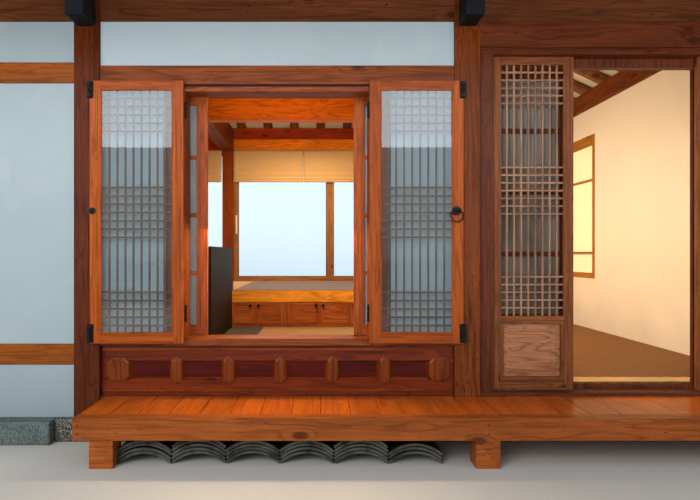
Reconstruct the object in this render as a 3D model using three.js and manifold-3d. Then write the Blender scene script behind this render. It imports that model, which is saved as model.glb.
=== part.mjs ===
// Hanok house: a three-bay timber house with a tiled hip-and-gable roof.
// Millimetres, +Z up. The front looks along -Y. The origin is on the ground, under the middle
// of the roof. Sizes follow the traditional foot of about 300 mm: bays are 8, 8 and 7.3 feet.
import * as THREE from "three";
import { mergeVertices } from "three/addons/utils/BufferGeometryUtils.js";
import Module from "manifold-3d";

const wasm = await Module();
wasm.setup();

// Plan
const POST_X = [-3500, -1100, 1300, 3500];
const REAR_POST_X = [-3500, -1008, 1300, 3500];
const CROSS_X = [-1015, 1300];
const LINE_Y = 2400;
const POST = 160;
const HALF = POST / 2;
const GAP = 0.3;
const FACE_Y = -LINE_Y - HALF;
const BACK_Y = -LINE_Y + HALF;
const [POST_A, POST_B, POST_C, POST_D] = POST_X;
const END_X = POST_D + HALF;

// Heights
const PLINTH_TOP = 142;
const FLOOR_TOP = 332;
const TOP_BEAM_LOW = 2646;
const TOP_BEAM_TOP = 2800;
const RAIL_HIGH = [2256, 2387];
const RAIL_LOW = [475, 607];
const CROSS_LOW = 2740;
const CROSS_TOP = 3050;
const END_PLATE_LOW = 2820;

// Walls
const WALL_BACK = 20;
const WALL_THICK = 120;
const RAIL_BACK = 10;
const RAIL_DEEP = 60;

// Roof
const EAVE_X = 4450;
const EAVE_Y = 3450;
const GABLE_X = 2900;
const VERGE_X = 3150;
const RAFTER_SLOPE = 0.48;
const RAFTER_SIZE = 112;
const RAFTER_PITCH = 400;
const RAFTER_RISE = RAFTER_SIZE * Math.hypot(1, RAFTER_SLOPE);
const PLATE_OUTER_TOP = 3000;
const EAVE_LOW = PLATE_OUTER_TOP - RAFTER_SLOPE * (EAVE_Y - LINE_Y - HALF);
const BOARD_THICK = 28;
const TILE_EAVE_THICK = 180;
const TILE_SLOPE = 0.36;
const TILE_CURVE = 0.0000435;
const FAN_RUN = 2000;
const CORNER_LIFT = 230;
const RING_X = EAVE_X - FAN_RUN;
const RING_Y = EAVE_Y - FAN_RUN;

// Colours
const COLOUR = {
  post: 0x6b4636,
  beam: 0x5f3f30,
  rail: 0xa0602f,
  plaster: 0xb9c6cc,
  stone: 0x6a6a62,
  floor: 0xb08a50,
  tile: 0x3c4446,
  casement: 0xa85a38,
  lattice: 0x85604c,
  dado: 0x6e2e1c,
  porch: 0xa8481c,
  lamp: 0x2d3740,
  cloth: 0xd9a55e,
  dais: 0xc5701a,
  leaf: 0x4a2a1e,
};

const house = new THREE.Group();

// Solids

function toSolid(geometry) {
  const plain = geometry.clone();
  plain.deleteAttribute("normal");
  plain.deleteAttribute("uv");
  const merged = mergeVertices(plain, 1e-3);
  const mesh = new wasm.Mesh({
    numProp: 3,
    vertProperties: new Float32Array(merged.attributes.position.array),
    triVerts: new Uint32Array(merged.index.array),
  });
  return new wasm.Manifold(mesh);
}

function toGeometry(solid) {
  const mesh = solid.getMesh();
  const geometry = new THREE.BufferGeometry();
  const places = new Float32Array(mesh.vertProperties);
  geometry.setAttribute("position", new THREE.BufferAttribute(places, 3));
  geometry.setIndex(new THREE.BufferAttribute(new Uint32Array(mesh.triVerts), 1));
  return geometry;
}

function box(x0, x1, y0, y1, z0, z1) {
  const geometry = new THREE.BoxGeometry(x1 - x0, y1 - y0, z1 - z0);
  geometry.translate((x0 + x1) / 2, (y0 + y1) / 2, (z0 + z1) / 2);
  return toSolid(geometry);
}

function outline(points) {
  return new THREE.Shape(points.map(([a, b]) => new THREE.Vector2(a, b)));
}

// A profile of (y, z) points, pulled along X.
function alongX(points, x0, x1) {
  const settings = { depth: x1 - x0, bevelEnabled: false };
  const geometry = new THREE.ExtrudeGeometry(outline(points), settings);
  const turn = new THREE.Matrix4().set(0, 0, 1, x0, 1, 0, 0, 0, 0, 1, 0, 0, 0, 0, 0, 1);
  return toSolid(geometry.applyMatrix4(turn));
}

// A profile of (x, z) points, pulled along Y.
function alongY(points, y0, y1) {
  const settings = { depth: y1 - y0, bevelEnabled: false };
  const geometry = new THREE.ExtrudeGeometry(outline(points), settings);
  const turn = new THREE.Matrix4().set(1, 0, 0, 0, 0, 0, -1, y1, 0, 1, 0, 0, 0, 0, 0, 1);
  return toSolid(geometry.applyMatrix4(turn));
}

function join(solids) {
  return solids.reduce((whole, solid) => whole.add(solid));
}

function shifted(solid, x, y, z) {
  return toSolid(toGeometry(solid).translate(x, y, z));
}

// A solid with the others cut out of it at each small step from where they stand, so that a
// gap is left on those sides.
function cutBy(solid, others, steps) {
  return others.reduce(
    (whole, other) => steps.reduce((left, [x, y, z]) => left.subtract(shifted(other, x, y, z)), whole),
    solid,
  );
}

const SLIP = 0.25;
const ALL_ROUND = [[0, 0, 0], [SLIP, 0, 0], [-SLIP, 0, 0], [0, SLIP, 0], [0, -SLIP, 0], [0, 0, SLIP],
  [0, 0, -SLIP]];
const IN_PLACE = [[0, 0, 0]];

// The largest body of a solid, without the slivers that a cut can leave.
function mainBody(solid) {
  const bodies = solid.decompose();
  return bodies.reduce((best, body) => (body.volume() > best.volume() ? body : best));
}

// A straight log from point to point, with a flat-bottomed section of six sides. One that is
// grown a little cuts the seat for the same log.
function log(from, to, size, grow = 0) {
  const sides = 6;
  const start = new THREE.Vector3(...from);
  const way = new THREE.Vector3(...to).sub(start);
  const radius = (size / 2 + grow) / Math.cos(Math.PI / sides);
  const geometry = new THREE.CylinderGeometry(radius, radius, way.length() + 2 * grow, sides);
  geometry.rotateY(Math.PI / sides);
  geometry.translate(0, way.length() / 2, 0);
  way.normalize();
  const side = new THREE.Vector3(0, 0, 1).cross(way).normalize();
  const basis = new THREE.Matrix4().makeBasis(side, way, side.clone().cross(way));
  geometry.applyMatrix4(basis.setPosition(start));
  return toSolid(geometry);
}

function node(name, solid, colour, roughness = 0.7, metalness = 0) {
  const material = new THREE.MeshStandardMaterial({ color: colour, roughness, metalness });
  const mesh = new THREE.Mesh(toGeometry(solid), material);
  mesh.name = name;
  house.add(mesh);
  return solid;
}

// Plinth, floor and posts

const wallFace = FACE_Y + WALL_BACK;
const wallInner = wallFace + WALL_THICK;
const railFace = FACE_Y + RAIL_BACK;
const railInner = railFace + RAIL_DEEP;

// The plinth runs a little past the posts, and its left front part is a smooth step.
const PLINTH_PROUD = 30;
const STEP_PROUD = 60;
const STEP_X = [-3610, -1290];

function makePlinth() {
  const reach = END_X + PLINTH_PROUD;
  const deep = LINE_Y + HALF + PLINTH_PROUD;
  const block = box(-reach, reach, -deep, deep, 0, PLINTH_TOP);
  const step = box(STEP_X[0], STEP_X[1], -deep - STEP_PROUD, -deep + 1, 0, PLINTH_TOP);
  return node("plinth", join([block, step]), COLOUR.stone, 0.9);
}

// The raised floor fills the room and goes round the posts and the door sill.
function makeFloor(others) {
  const reach = END_X - WALL_BACK - WALL_THICK - GAP;
  const deep = -wallInner - GAP;
  const slab = box(-reach, reach, -deep, deep, PLINTH_TOP + GAP, FLOOR_TOP);
  const over = FLOOR_TOP + 50;
  const front = POST_X.map((x) => post(x, -LINE_Y, over));
  const rear = REAR_POST_X.map((x) => post(x, LINE_Y, over));
  return node("floor_slab", cutBy(slab, [...front, ...rear, ...others], ALL_ROUND), COLOUR.floor, 0.6);
}

// An upright post on the plinth, up to a little under the plate that it carries.
function post(x, y, top) {
  return box(x - HALF, x + HALF, y - HALF, y + HALF, PLINTH_TOP + GAP, top - GAP);
}

const RAILS = [RAIL_LOW, RAIL_HIGH];

function rails(x0, x1, y0, y1, heights) {
  return heights.map(([low, high]) => box(x0, x1, y0, y1, low, high));
}

function makeFrontPosts() {
  const corner = post(POST_A, -LINE_Y, TOP_BEAM_TOP);
  const bayRails = rails(POST_A, POST_B - HALF - GAP, railFace, railInner, RAILS);
  node("left_front_post_and_rails", join([corner, ...bayRails]), COLOUR.rail, 0.6);
  node("front_post_b", post(POST_B, -LINE_Y, TOP_BEAM_TOP), COLOUR.post, 0.55);
  node("front_post_c", post(POST_C, -LINE_Y, TOP_BEAM_TOP), COLOUR.post, 0.55);
  node("right_front_post", post(POST_D, -LINE_Y, TOP_BEAM_TOP), COLOUR.post, 0.55);
}

// Rear frame: posts, rails and glazed windows, tenoned together as one frame.
const REAR_PLATE_LOW = 2910;
const REAR_HEAD = 2743;
const REAR_SILL = [760, 830];
const REAR_JAMB = 70;
const PANE = 10;
const MULLION_HALF = 50;
const REAR_WINDOW_DEEP = 20;
const POST_SIDES = [REAR_POST_X[1] - HALF, REAR_POST_X[1] + HALF];
// The jambs are given by their left edges. The left window has its pane let into the post on
// its right, in place of a jamb.
const REAR_WINDOWS = [
  { x0: -2980, x1: POST_SIDES[0], paneEnd: REAR_POST_X[1], jambs: [-2980], mullion: -2034 },
  { x0: POST_SIDES[1], x1: 1110, paneEnd: 1100, jambs: [POST_SIDES[1], 1110 - REAR_JAMB], mullion: 540 },
  { x0: 1560, x1: 3080, paneEnd: 3070, jambs: [1560, 3080 - REAR_JAMB], mullion: 2320 },
];
const rearRailFace = [-railInner, -railFace];
const paneY = -wallInner + WALL_THICK / 2;

function rearWindow({ x0, x1, paneEnd, jambs, mullion }) {
  const [y0, y1] = [-wallInner + REAR_WINDOW_DEEP, -wallFace];
  const [sillLow, sillTop] = REAR_SILL;
  const head = REAR_HEAD - 0.5;
  return [
    box(x0, x1, y0, y1, sillLow, sillTop),
    box(x0, x1, y0, y1, head - REAR_JAMB, head),
    ...jambs.map((x) => box(x, x + REAR_JAMB, y0, y1, sillLow, head)),
    box(mullion - MULLION_HALF, mullion + MULLION_HALF, y0, y1, sillLow, head),
    box(x0 + 1, paneEnd, paneY - PANE / 2, paneY + PANE / 2, sillLow + 1, head - 1),
  ];
}

function makeRearFrame() {
  const [y0, y1] = rearRailFace;
  const posts = REAR_POST_X.map((x) => post(x, LINE_Y, REAR_PLATE_LOW));
  const lowRail = rails(POST_A, POST_D, y0, y1, [RAIL_LOW]);
  const sills = POST_X.slice(1).map((x, bay) => box(POST_X[bay], x, y0, y1, ...REAR_SILL));
  const windows = REAR_WINDOWS.flatMap(rearWindow);
  return node("rear_frame", join([...posts, ...lowRail, ...sills, ...windows]), COLOUR.post, 0.6);
}

// End frames: a middle post and rails, let into the outer face of the end wall.
const END_WALL_DEEP = LINE_Y - HALF - GAP;
const END_LINTEL = [2520, TOP_BEAM_LOW];
const endRailOuter = END_X - RAIL_BACK;
const endRailInner = endRailOuter - RAIL_DEEP;

function makeEndFrame(name, side, heightsFront, heightsRear) {
  const xs = [side * endRailOuter, side * endRailInner].sort((a, b) => a - b);
  const postXs = [side * END_X, side * endRailInner].sort((a, b) => a - b);
  const middle = box(...postXs, -HALF, HALF, PLINTH_TOP + GAP, END_PLATE_LOW - GAP);
  const front = rails(...xs, -END_WALL_DEEP, 0, heightsFront);
  const rear = rails(...xs, 0, END_WALL_DEEP, heightsRear);
  return node(name, join([middle, ...front, ...rear]), COLOUR.rail, 0.6);
}

// The tall paper window in the right end wall.
const END_WINDOW = { y0: 150, y1: 1500, z0: 900, z1: END_LINTEL[0] - GAP, bar: 60, top: 110 };
const END_WINDOW_X = [POST_D - 62, POST_D + 50];
const END_SHEET_X = [POST_D - 20, POST_D - 10];
const END_BARS = [1190, 2016];

function endHole() {
  const { y0, y1, z0, z1 } = END_WINDOW;
  return box(POST_D - POST, POST_D + POST, y0, y1, z0, z1 + GAP);
}

function makeEndWindow() {
  const { y0, y1, z0, z1, bar, top } = END_WINDOW;
  const [x0, x1] = END_WINDOW_X;
  const low = z0 + GAP;
  const [near, far] = [y0 + GAP, y1 - GAP];
  const frame = box(x0, x1, near, far, low, z1);
  const hole = box(x0 - 1, x1 + 1, near + bar, far - bar, low + bar, z1 - top);
  const [inner, outer] = [near + bar - 1, far - bar + 1];
  const sheet = box(...END_SHEET_X, inner, outer, low + bar - 1, z1 - top + 1);
  const bars = END_BARS.map((z) => box(x0 + 10, POST_D, near + 1, far - 1, z - 12, z + 12));
  const whole = join([frame.subtract(hole), sheet, ...bars]);
  return node("end_window", whole, COLOUR.casement, 0.6);
}

// Plates, cross beams, posts of the roof and purlins

function underLift(x, y) {
  const runX = Math.abs(x) - RING_X;
  const runY = Math.abs(y) - RING_Y;
  const along = Math.min(runX, runY);
  const out = Math.max(runX, runY);
  if (along <= 0 || out <= 0) {
    return 0;
  }
  return (CORNER_LIFT * along * along) / (FAN_RUN * out);
}

// Underside of the rafters over a point, on the front or rear slope.
function mainUnder(x, y) {
  return EAVE_LOW + RAFTER_SLOPE * (EAVE_Y - Math.abs(y)) + underLift(x, y);
}

// The same on the slopes over the ends.
function endUnder(x, y) {
  return EAVE_LOW + RAFTER_SLOPE * (EAVE_X - Math.abs(x)) + underLift(x, y);
}

function hipUnder(x, y) {
  return Math.min(mainUnder(x, y), endUnder(x, y));
}

// The points round the rim of a grid, in order.
function rimOf(down, across) {
  const last = (down - 1) * across;
  const first = Array.from({ length: across - 1 }, (_, i) => i);
  const right = Array.from({ length: down - 1 }, (_, i) => i * across + across - 1);
  const bottom = Array.from({ length: across - 1 }, (_, i) => last + across - 1 - i);
  const left = Array.from({ length: down - 1 }, (_, i) => last - i * across);
  return [...first, ...right, ...bottom, ...left];
}

// A solid between two heights over a grid of plan points, in rows from one edge to the other.
function sheetSolid(rows, lowAt, highAt) {
  const across = rows[0].length;
  const places = [];
  for (const heightAt of [lowAt, highAt]) {
    for (const row of rows) {
      for (const [x, y] of row) {
        places.push(x, y, heightAt(x, y));
      }
    }
  }
  const count = rows.length * across;
  const faces = [];
  const quad = (a, b, c, d) => faces.push(a, b, c, a, c, d);
  for (let r = 0; r + 1 < rows.length; r += 1) {
    for (let c = 0; c + 1 < across; c += 1) {
      const at = r * across + c;
      quad(at, at + across, at + across + 1, at + 1);
      quad(count + at, count + at + 1, count + at + across + 1, count + at + across);
    }
  }
  const edge = rimOf(rows.length, across);
  edge.forEach((at, i) => {
    const next = edge[(i + 1) % edge.length];
    quad(at, next, count + next, count + at);
  });
  return fromFaces(places, faces);
}

// Points that fall together are merged, and faces without area are left out.
function fromFaces(places, faces) {
  const geometry = new THREE.BufferGeometry();
  geometry.setAttribute("position", new THREE.Float32BufferAttribute(places, 3));
  geometry.setIndex(faces);
  const merged = mergeVertices(geometry, 1e-2);
  const index = [...merged.index.array];
  const kept = [];
  for (let i = 0; i < index.length; i += 3) {
    const [a, b, c] = index.slice(i, i + 3);
    if (a !== b && b !== c && a !== c) {
      kept.push(a, b, c);
    }
  }
  merged.setIndex(kept);
  return toSolid(merged);
}

// Plan rows of the slopes. Each row runs across the slope, from its low edge or up to it.
// Boards and tiles share the rows, so that one lies flat on the other.
const MAIN_RUNS = [0, 650, 1300, 1650, 2000, 2700, EAVE_Y - GAP];
const GABLE_RUN = EAVE_X - GABLE_X - 0.4;
const END_RUNS = [GABLE_RUN, 1050, 500, 0];
const ACROSS = [-1, -0.92, -0.84, -0.73, -0.6, 0.6, 0.73, 0.84, 0.92, 1];

function hipX(y) {
  return EAVE_X - (EAVE_Y - Math.abs(y));
}

function mainRows(side) {
  const rows = MAIN_RUNS.map((run) => {
    const y = EAVE_Y - run;
    const half = Math.max(hipX(y), VERGE_X);
    return ACROSS.map((part) => [half * part, side * y]);
  });
  return side > 0 ? rows.reverse() : rows;
}

function endRows(side, runs, trim = 2 * GAP) {
  return runs.map((run) => {
    const half = EAVE_Y - run - trim;
    return ACROSS.map((part) => [side * (EAVE_X - run), -side * half * part]);
  });
}

// Boards over the rafters, and the tiles' own thickness over the boards.
const EMBED = 16;
const BOARD_LOW = RAFTER_RISE - EMBED;
const BOARD_TOP = BOARD_LOW + BOARD_THICK;

function tileRise(run) {
  return TILE_EAVE_THICK + (TILE_SLOPE - RAFTER_SLOPE) * run + TILE_CURVE * run * run;
}

function mainTop(x, y) {
  return mainUnder(x, y) + BOARD_TOP + tileRise(EAVE_Y - Math.abs(y));
}

function endTop(x, y) {
  return endUnder(x, y) + BOARD_TOP + tileRise(EAVE_X - Math.abs(x));
}

const raised = (heightAt, rise) => (x, y) => heightAt(x, y) + rise;

// Rafters: straight ones side by side, and a fan of them at each corner.
const TIP = 120;
const FAN_STARTS = [0.2, 0.25, 0.32, 0.5];
const HIP_SIZE = 150;
const HIP_DROP = 60;
const HIP_ROOT = -60;

function rafter(from, to, underAt, grow = 0, size = RAFTER_SIZE, drop = 0) {
  const rise = RAFTER_RISE / 2 - drop;
  const end = ([x, y]) => [x, y, underAt(x, y) + rise];
  return log(end(from), end(to), size, grow);
}

function fanRafter(eaveX, eaveY, signX, signY, start, grow) {
  const place = (t) => [signX * (RING_X + (eaveX - RING_X) * t), signY * (RING_Y + (eaveY - RING_Y) * t)];
  const tip = 1 - TIP / FAN_RUN;
  return rafter(place(start), place(tip), hipUnder, grow);
}

function hipRafter(signX, signY, grow) {
  const reach = FAN_RUN - TIP;
  const at = (out) => [signX * (RING_X + out), signY * (RING_Y + out)];
  return rafter(at(HIP_ROOT), at(reach), hipUnder, grow, HIP_SIZE, HIP_DROP);
}

function steps(low, high, pitch) {
  return Array.from({ length: Math.round((high - low) / pitch) + 1 }, (_, i) => low + i * pitch);
}

const FAN_STEPS = [1, 2, 3, 4].map((k) => k * RAFTER_PITCH);
const LAST_RAFTER = 2400;
const LAST_END_RAFTER = 1200;
const RAFTER_HEAD = 70;
const END_RAFTER_HEAD = 30;

function straightRafter(x, side, grow = 0) {
  return rafter([x, side * RAFTER_HEAD], [x, side * (EAVE_Y - TIP)], mainUnder, grow);
}

// A board that closes the verge under the main slope.
const BARGE_X = VERGE_X - 12;
const BARGE_THICK = 38;
const BARGE_TALL = 260;
const BARGE_LAP = 8;
const BARGE_CLEAR = 20;
const BARGE_YS = [GAP, 500, 1000, 1400, 1550, 1680, 1790];

function bargeBoard(signX, signY) {
  const xs = [signX * (BARGE_X - BARGE_THICK), signX * BARGE_X].sort((a, b) => a - b);
  const ys = BARGE_YS.map((y) => signY * y);
  const rows = (signY > 0 ? ys : ys.reverse()).map((y) => xs.map((x) => [x, y]));
  const top = BOARD_LOW + BARGE_LAP;
  const lowAt = (x, y) => Math.max(mainUnder(x, y) + top - BARGE_TALL, endTop(x, y) + BARGE_CLEAR);
  return sheetSolid(rows, lowAt, raised(mainUnder, top));
}

function mainCorner(signX, signY, grow = 0) {
  const fan = FAN_STEPS.map((step, i) =>
    fanRafter(RING_X + step, EAVE_Y, signX, signY, FAN_STARTS[i], grow));
  return [...fan, hipRafter(signX, signY, grow)];
}

function endCorner(signX, signY, grow = 0) {
  return FAN_STEPS.map((step, i) => fanRafter(EAVE_X, RING_Y + step, signX, signY, FAN_STARTS[i], grow));
}

function makeMainRafters(name, side) {
  const boards = sheetSolid(mainRows(side), raised(mainUnder, BOARD_LOW), raised(mainUnder, BOARD_TOP));
  const straight = steps(-LAST_RAFTER, LAST_RAFTER, RAFTER_PITCH).map((x) => straightRafter(x, side));
  const corners = [-1, 1].flatMap((sign) => [...mainCorner(sign, side), bargeBoard(sign, side)]);
  return node(name, mainBody(join([boards, ...straight, ...corners])), COLOUR.beam);
}

// The end boards stop at the side of the hip rafter.
function hipStrip(signX, signY) {
  const half = HIP_SIZE / 2 + GAP;
  const geometry = new THREE.BoxGeometry(3 * FAN_RUN, 2 * half, 4 * FAN_RUN);
  geometry.rotateZ((signX * signY * Math.PI) / 4);
  return toSolid(geometry.translate(signX * RING_X, signY * RING_Y, FAN_RUN));
}

function makeEndRafters(name, side) {
  const rows = endRows(side, [FAN_RUN - 20, ...END_RUNS]);
  const raw = sheetSolid(rows, raised(endUnder, BOARD_LOW), raised(endUnder, BOARD_TOP));
  const boards = raw.subtract(hipStrip(side, -1)).subtract(hipStrip(side, 1));
  const head = side * (RING_X + END_RAFTER_HEAD);
  const straight = steps(-LAST_END_RAFTER, LAST_END_RAFTER, RAFTER_PITCH)
    .map((y) => rafter([head, y], [side * (EAVE_X - TIP), y], endUnder));
  const corners = [-1, 1].flatMap((sign) => endCorner(side, sign));
  return node(name, mainBody(join([boards, ...straight, ...corners])), COLOUR.beam);
}

// The same logs a little thicker, which cut their seats in the timbers under them.
function seatCutters() {
  const grow = 0.4;
  const corners = [[-1, -1], [1, -1], [-1, 1], [1, 1]];
  return corners.flatMap(([a, b]) =>
    [...mainCorner(a, b, grow), ...endCorner(a, b, grow), straightRafter(a * LAST_RAFTER, b, grow)]);
}

function makeSlopes() {
  const slopes = [-1, 1].map((side) =>
    sheetSolid(mainRows(side), raised(mainUnder, BOARD_TOP + GAP), mainTop));
  const overhead = [-1, 1].map((side) =>
    sheetSolid(mainRows(side), raised(mainUnder, BOARD_LOW - GAP), raised(mainUnder, FAN_RUN)));
  for (const side of [-1, 1]) {
    const raw = sheetSolid(endRows(side, END_RUNS), raised(endUnder, BOARD_TOP + GAP), endTop);
    slopes.push(mainBody(overhead.reduce((left, cutter) => left.subtract(cutter), raw)));
  }
  const names = ["roof_front", "roof_rear", "roof_left_end", "roof_right_end"];
  slopes.forEach((slope, i) => node(names[i], slope, COLOUR.tile, 0.8));
}

// Ridges: the main ridge, four that run down the verges and four down the hips.
const RIDGE_HALF = 130;
const RIDGE_TALL = 380;
const RIDGE_SWEEP = 130;
const SIDE_RIDGE = { half: 100, tall: 230, centre: 3000, ys: [60, 600, 1150, 1700, 2170] };
const HIP_RIDGE = { half: 85, tall: 200, sweep: 70, runs: [440, 900, 1350, 1700, FAN_RUN - 70] };

function mainRidge() {
  const reach = VERGE_X - 15;
  const base = mainTop(0, 0);
  const top = steps(-reach, reach, reach / 6)
    .map((x) => [x, base + RIDGE_TALL + RIDGE_SWEEP * (x / reach) ** 2]);
  const low = base - 150;
  return alongY([[-reach, low], [reach, low], ...top.reverse()], -RIDGE_HALF, RIDGE_HALF);
}

function sideRidge(signX, signY) {
  const { half, tall } = SIDE_RIDGE;
  const centre = signX * SIDE_RIDGE.centre;
  const ys = SIDE_RIDGE.ys.map((y) => signY * y);
  const rows = (signY > 0 ? ys : ys.reverse()).map((y) => [[centre - half, y], [centre + half, y]]);
  return sheetSolid(rows, raised(mainTop, -55), raised(mainTop, tall));
}

function hipRidge(signX, signY) {
  const { half, tall, sweep, runs } = HIP_RIDGE;
  const across = half * Math.SQRT1_2;
  const rows = runs.map((out) => {
    const x = RING_X + out;
    const y = RING_Y + out;
    const rim = [[x - across, y + across], [x + across, y - across]];
    return rim.map(([a, b]) => [signX * a, signY * b]);
  });
  const ordered = signX * signY < 0 ? rows.map((row) => row.reverse()) : rows;
  const rise = (x, y) => {
    const out = Math.min(Math.abs(x) - RING_X, Math.abs(y) - RING_Y);
    return sweep * ((out + across) / FAN_RUN) ** 2;
  };
  const roofAt = (x, y) => Math.min(mainTop(x, y), endTop(x, y));
  return sheetSolid(ordered, raised(roofAt, -40), (x, y) => roofAt(x, y) + tall + rise(x, y));
}

// What the ridges are cut by: all that lies under the tiles' upper faces, and a little more.
function ridgeBeds() {
  const below = -300;
  return [-1, 1].flatMap((side) => [
    sheetSolid(mainRows(side), raised(mainTop, below), raised(mainTop, GAP)),
    sheetSolid(endRows(side, END_RUNS, -GAP), raised(endTop, below), raised(endTop, 2 * GAP)),
  ]);
}

function makeRidges() {
  const corners = [[-1, -1], [1, -1], [-1, 1], [1, 1]];
  const parts = corners.flatMap(([a, b]) => [sideRidge(a, b), hipRidge(a, b)]);
  const whole = join([mainRidge(), ...parts]);
  return node("ridges", mainBody(cutBy(whole, ridgeBeds(), IN_PLACE)), COLOUR.tile, 0.8);
}

// Plates, beams and purlins under the rafters

const PLATE_COLUMNS = [3580, 3480, 3420, 3300, 3160, 3020, 2880, 2740, 2600, 2450];

function plateWedge(side, low) {
  const xs = [...PLATE_COLUMNS.map((x) => -x), ...[...PLATE_COLUMNS].reverse()];
  const ys = [side * (LINE_Y - HALF), side * (LINE_Y + HALF)].sort((a, b) => a - b);
  const rows = ys.map((y) => xs.map((x) => [x, y]));
  return sheetSolid(rows, () => low, raised(hipUnder, -GAP));
}

// The plate of a long side, with the beams that run between the posts under it.
function makePlate(name, side, posts, plateLow, beamLow, seats) {
  const ys = [side * (LINE_Y - HALF + RAIL_BACK), side * (LINE_Y + HALF - RAIL_BACK)];
  ys.sort((a, b) => a - b);
  const reach = HALF + GAP;
  const beams = posts.slice(1)
    .map((x, bay) => box(posts[bay] + reach, x - reach, ...ys, beamLow, plateLow + 1));
  const whole = join([plateWedge(side, plateLow), ...beams]);
  return node(name, mainBody(cutBy(whole, seats, IN_PLACE)), COLOUR.beam, 0.6);
}

const PURLIN = 160;
const RING_LOW = 3250;
const RIDGE_LOW = 3950;

function slopedBeam(centre, low, underAt) {
  const outer = centre + PURLIN / 2;
  const inner = centre - PURLIN / 2;
  return [[inner, low], [outer, low], [outer, underAt(outer) - GAP], [inner, underAt(inner) - GAP]];
}

const mirrored = (points) => points.map(([a, b]) => [-a, b]).reverse();

function purlinRing() {
  const long = slopedBeam(RING_Y, RING_LOW, (y) => mainUnder(0, y));
  const cross = slopedBeam(RING_X, RING_LOW, (x) => endUnder(x, 0));
  const reachX = RING_X + PURLIN / 2;
  const parts = [
    alongX(long, -reachX, reachX),
    alongX(mirrored(long), -reachX, reachX),
    alongY(cross, -RING_Y, RING_Y),
    alongY(mirrored(cross), -RING_Y, RING_Y),
  ];
  return join(parts);
}

function ridgePurlin() {
  const side = mainUnder(0, HALF) - GAP;
  const peak = mainUnder(0, 0) - GAP;
  const profile = [[-HALF, RIDGE_LOW], [HALF, RIDGE_LOW], [HALF, side], [0, peak], [-HALF, side]];
  const reach = GABLE_X - GABLE.thick - GAP;
  return alongX(profile, -reach, reach);
}

// A cross beam between the plates, with the short posts that stand on it.
const BEAM_HALF = 100;
const STRUT_HALF = 70;

function crossBeam(x) {
  const reach = LINE_Y - HALF - GAP;
  const struts = [-RING_Y, RING_Y].map((y) =>
    box(x - STRUT_HALF, x + STRUT_HALF, y - STRUT_HALF, y + STRUT_HALF, CROSS_TOP - 1, RING_LOW + 1));
  return [
    box(x - BEAM_HALF, x + BEAM_HALF, -reach, reach, CROSS_LOW, CROSS_TOP),
    box(x - HALF, x + HALF, -HALF, HALF, CROSS_TOP - 1, RIDGE_LOW + 1),
    ...struts,
  ];
}

// The beam over the front edge of the dais, between the two middle cross beams.
const DAIS_FRONT = 353;
const DAIS_BEAM = { y0: DAIS_FRONT, y1: 483, z0: 2716, z1: 2970 };

// Everything that carries the rafters inside the plates is pegged together as one frame.
function makeRoofFrame(seats) {
  const { y0, y1, z0, z1 } = DAIS_BEAM;
  const over = box(CROSS_X[0] + BEAM_HALF - 1, CROSS_X[1] - BEAM_HALF + 1, y0, y1, z0, z1);
  const parts = [over, ...CROSS_X.flatMap(crossBeam), purlinRing(), ridgePurlin()];
  return node("roof_frame", mainBody(cutBy(join(parts), seats, IN_PLACE)), COLOUR.beam, 0.6);
}

function makeEndPlate(name, side) {
  const inner = POST_D - HALF;
  const profile = [
    [inner, END_PLATE_LOW],
    [END_X, END_PLATE_LOW],
    [END_X, endUnder(END_X, 0) - GAP],
    [inner, endUnder(inner, 0) - GAP],
  ];
  const reach = LINE_Y - HALF - GAP;
  const beam = alongY(side > 0 ? profile : mirrored(profile), -reach, reach);
  return node(name, beam, COLOUR.beam, 0.6);
}

// Gable walls stand on the end slopes' boards and close the roof under the main slopes.
const GABLE = { reach: 1700, low: 3300, thick: 100 };

function makeGable(name, side) {
  const { reach, low, thick } = GABLE;
  const top = (y) => mainUnder(0, y) + BOARD_LOW - GAP;
  const profile = [[-reach, low], [reach, low], [reach, top(reach)], [0, top(0)], [-reach, top(reach)]];
  const xs = [side * (GABLE_X - thick), side * GABLE_X].sort((a, b) => a - b);
  const rows = endRows(side, [FAN_RUN - 20, ...END_RUNS]);
  const bed = sheetSolid(rows, raised(endUnder, -FAN_RUN), raised(endUnder, BOARD_TOP + GAP));
  return node(name, mainBody(alongX(profile, ...xs).subtract(bed)), COLOUR.plaster, 0.85);
}

// Walls. Each is one plaster body that carries the rails in channels in its outer face.

function makeFrontWall() {
  const [x0, x1] = [POST_A + HALF + GAP, POST_B - HALF - GAP];
  const body = box(x0, x1, wallFace, wallInner, PLINTH_TOP + GAP, TOP_BEAM_LOW - GAP);
  const channels = rails(x0 - 1, x1 + 1, wallFace - 1, railInner + GAP,
    RAILS.map(([low, high]) => [low - GAP, high + GAP]));
  const wall = channels.reduce((left, channel) => left.subtract(channel), body);
  return node("left_front_wall", wall, COLOUR.plaster, 0.85);
}

// The rear wall fills each bay between the posts, round its window.
function makeRearWalls() {
  const names = ["rear_wall_left", "rear_wall_middle", "rear_wall_right"];
  const [y0, y1] = [-wallInner, -wallFace];
  names.forEach((name, bay) => {
    const [x0, x1] = [REAR_POST_X[bay] + HALF + GAP, REAR_POST_X[bay + 1] - HALF - GAP];
    const body = box(x0, x1, y0, y1, PLINTH_TOP + GAP, REAR_HEAD - GAP);
    const window = REAR_WINDOWS[bay];
    const hole = box(window.x0 - GAP, window.x1 + GAP, y0 - 1, y1 + 1, REAR_SILL[0] - GAP, REAR_HEAD + 1);
    const channels = [RAIL_LOW, REAR_SILL].map(([low, high]) =>
      box(x0 - 1, x1 + 1, rearRailFace[0] - GAP, y1 + 1, low - GAP, high + GAP));
    const wall = [hole, ...channels].reduce((left, cutter) => left.subtract(cutter), body);
    node(name, mainBody(wall), COLOUR.plaster, 0.85);
  });
}

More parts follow.
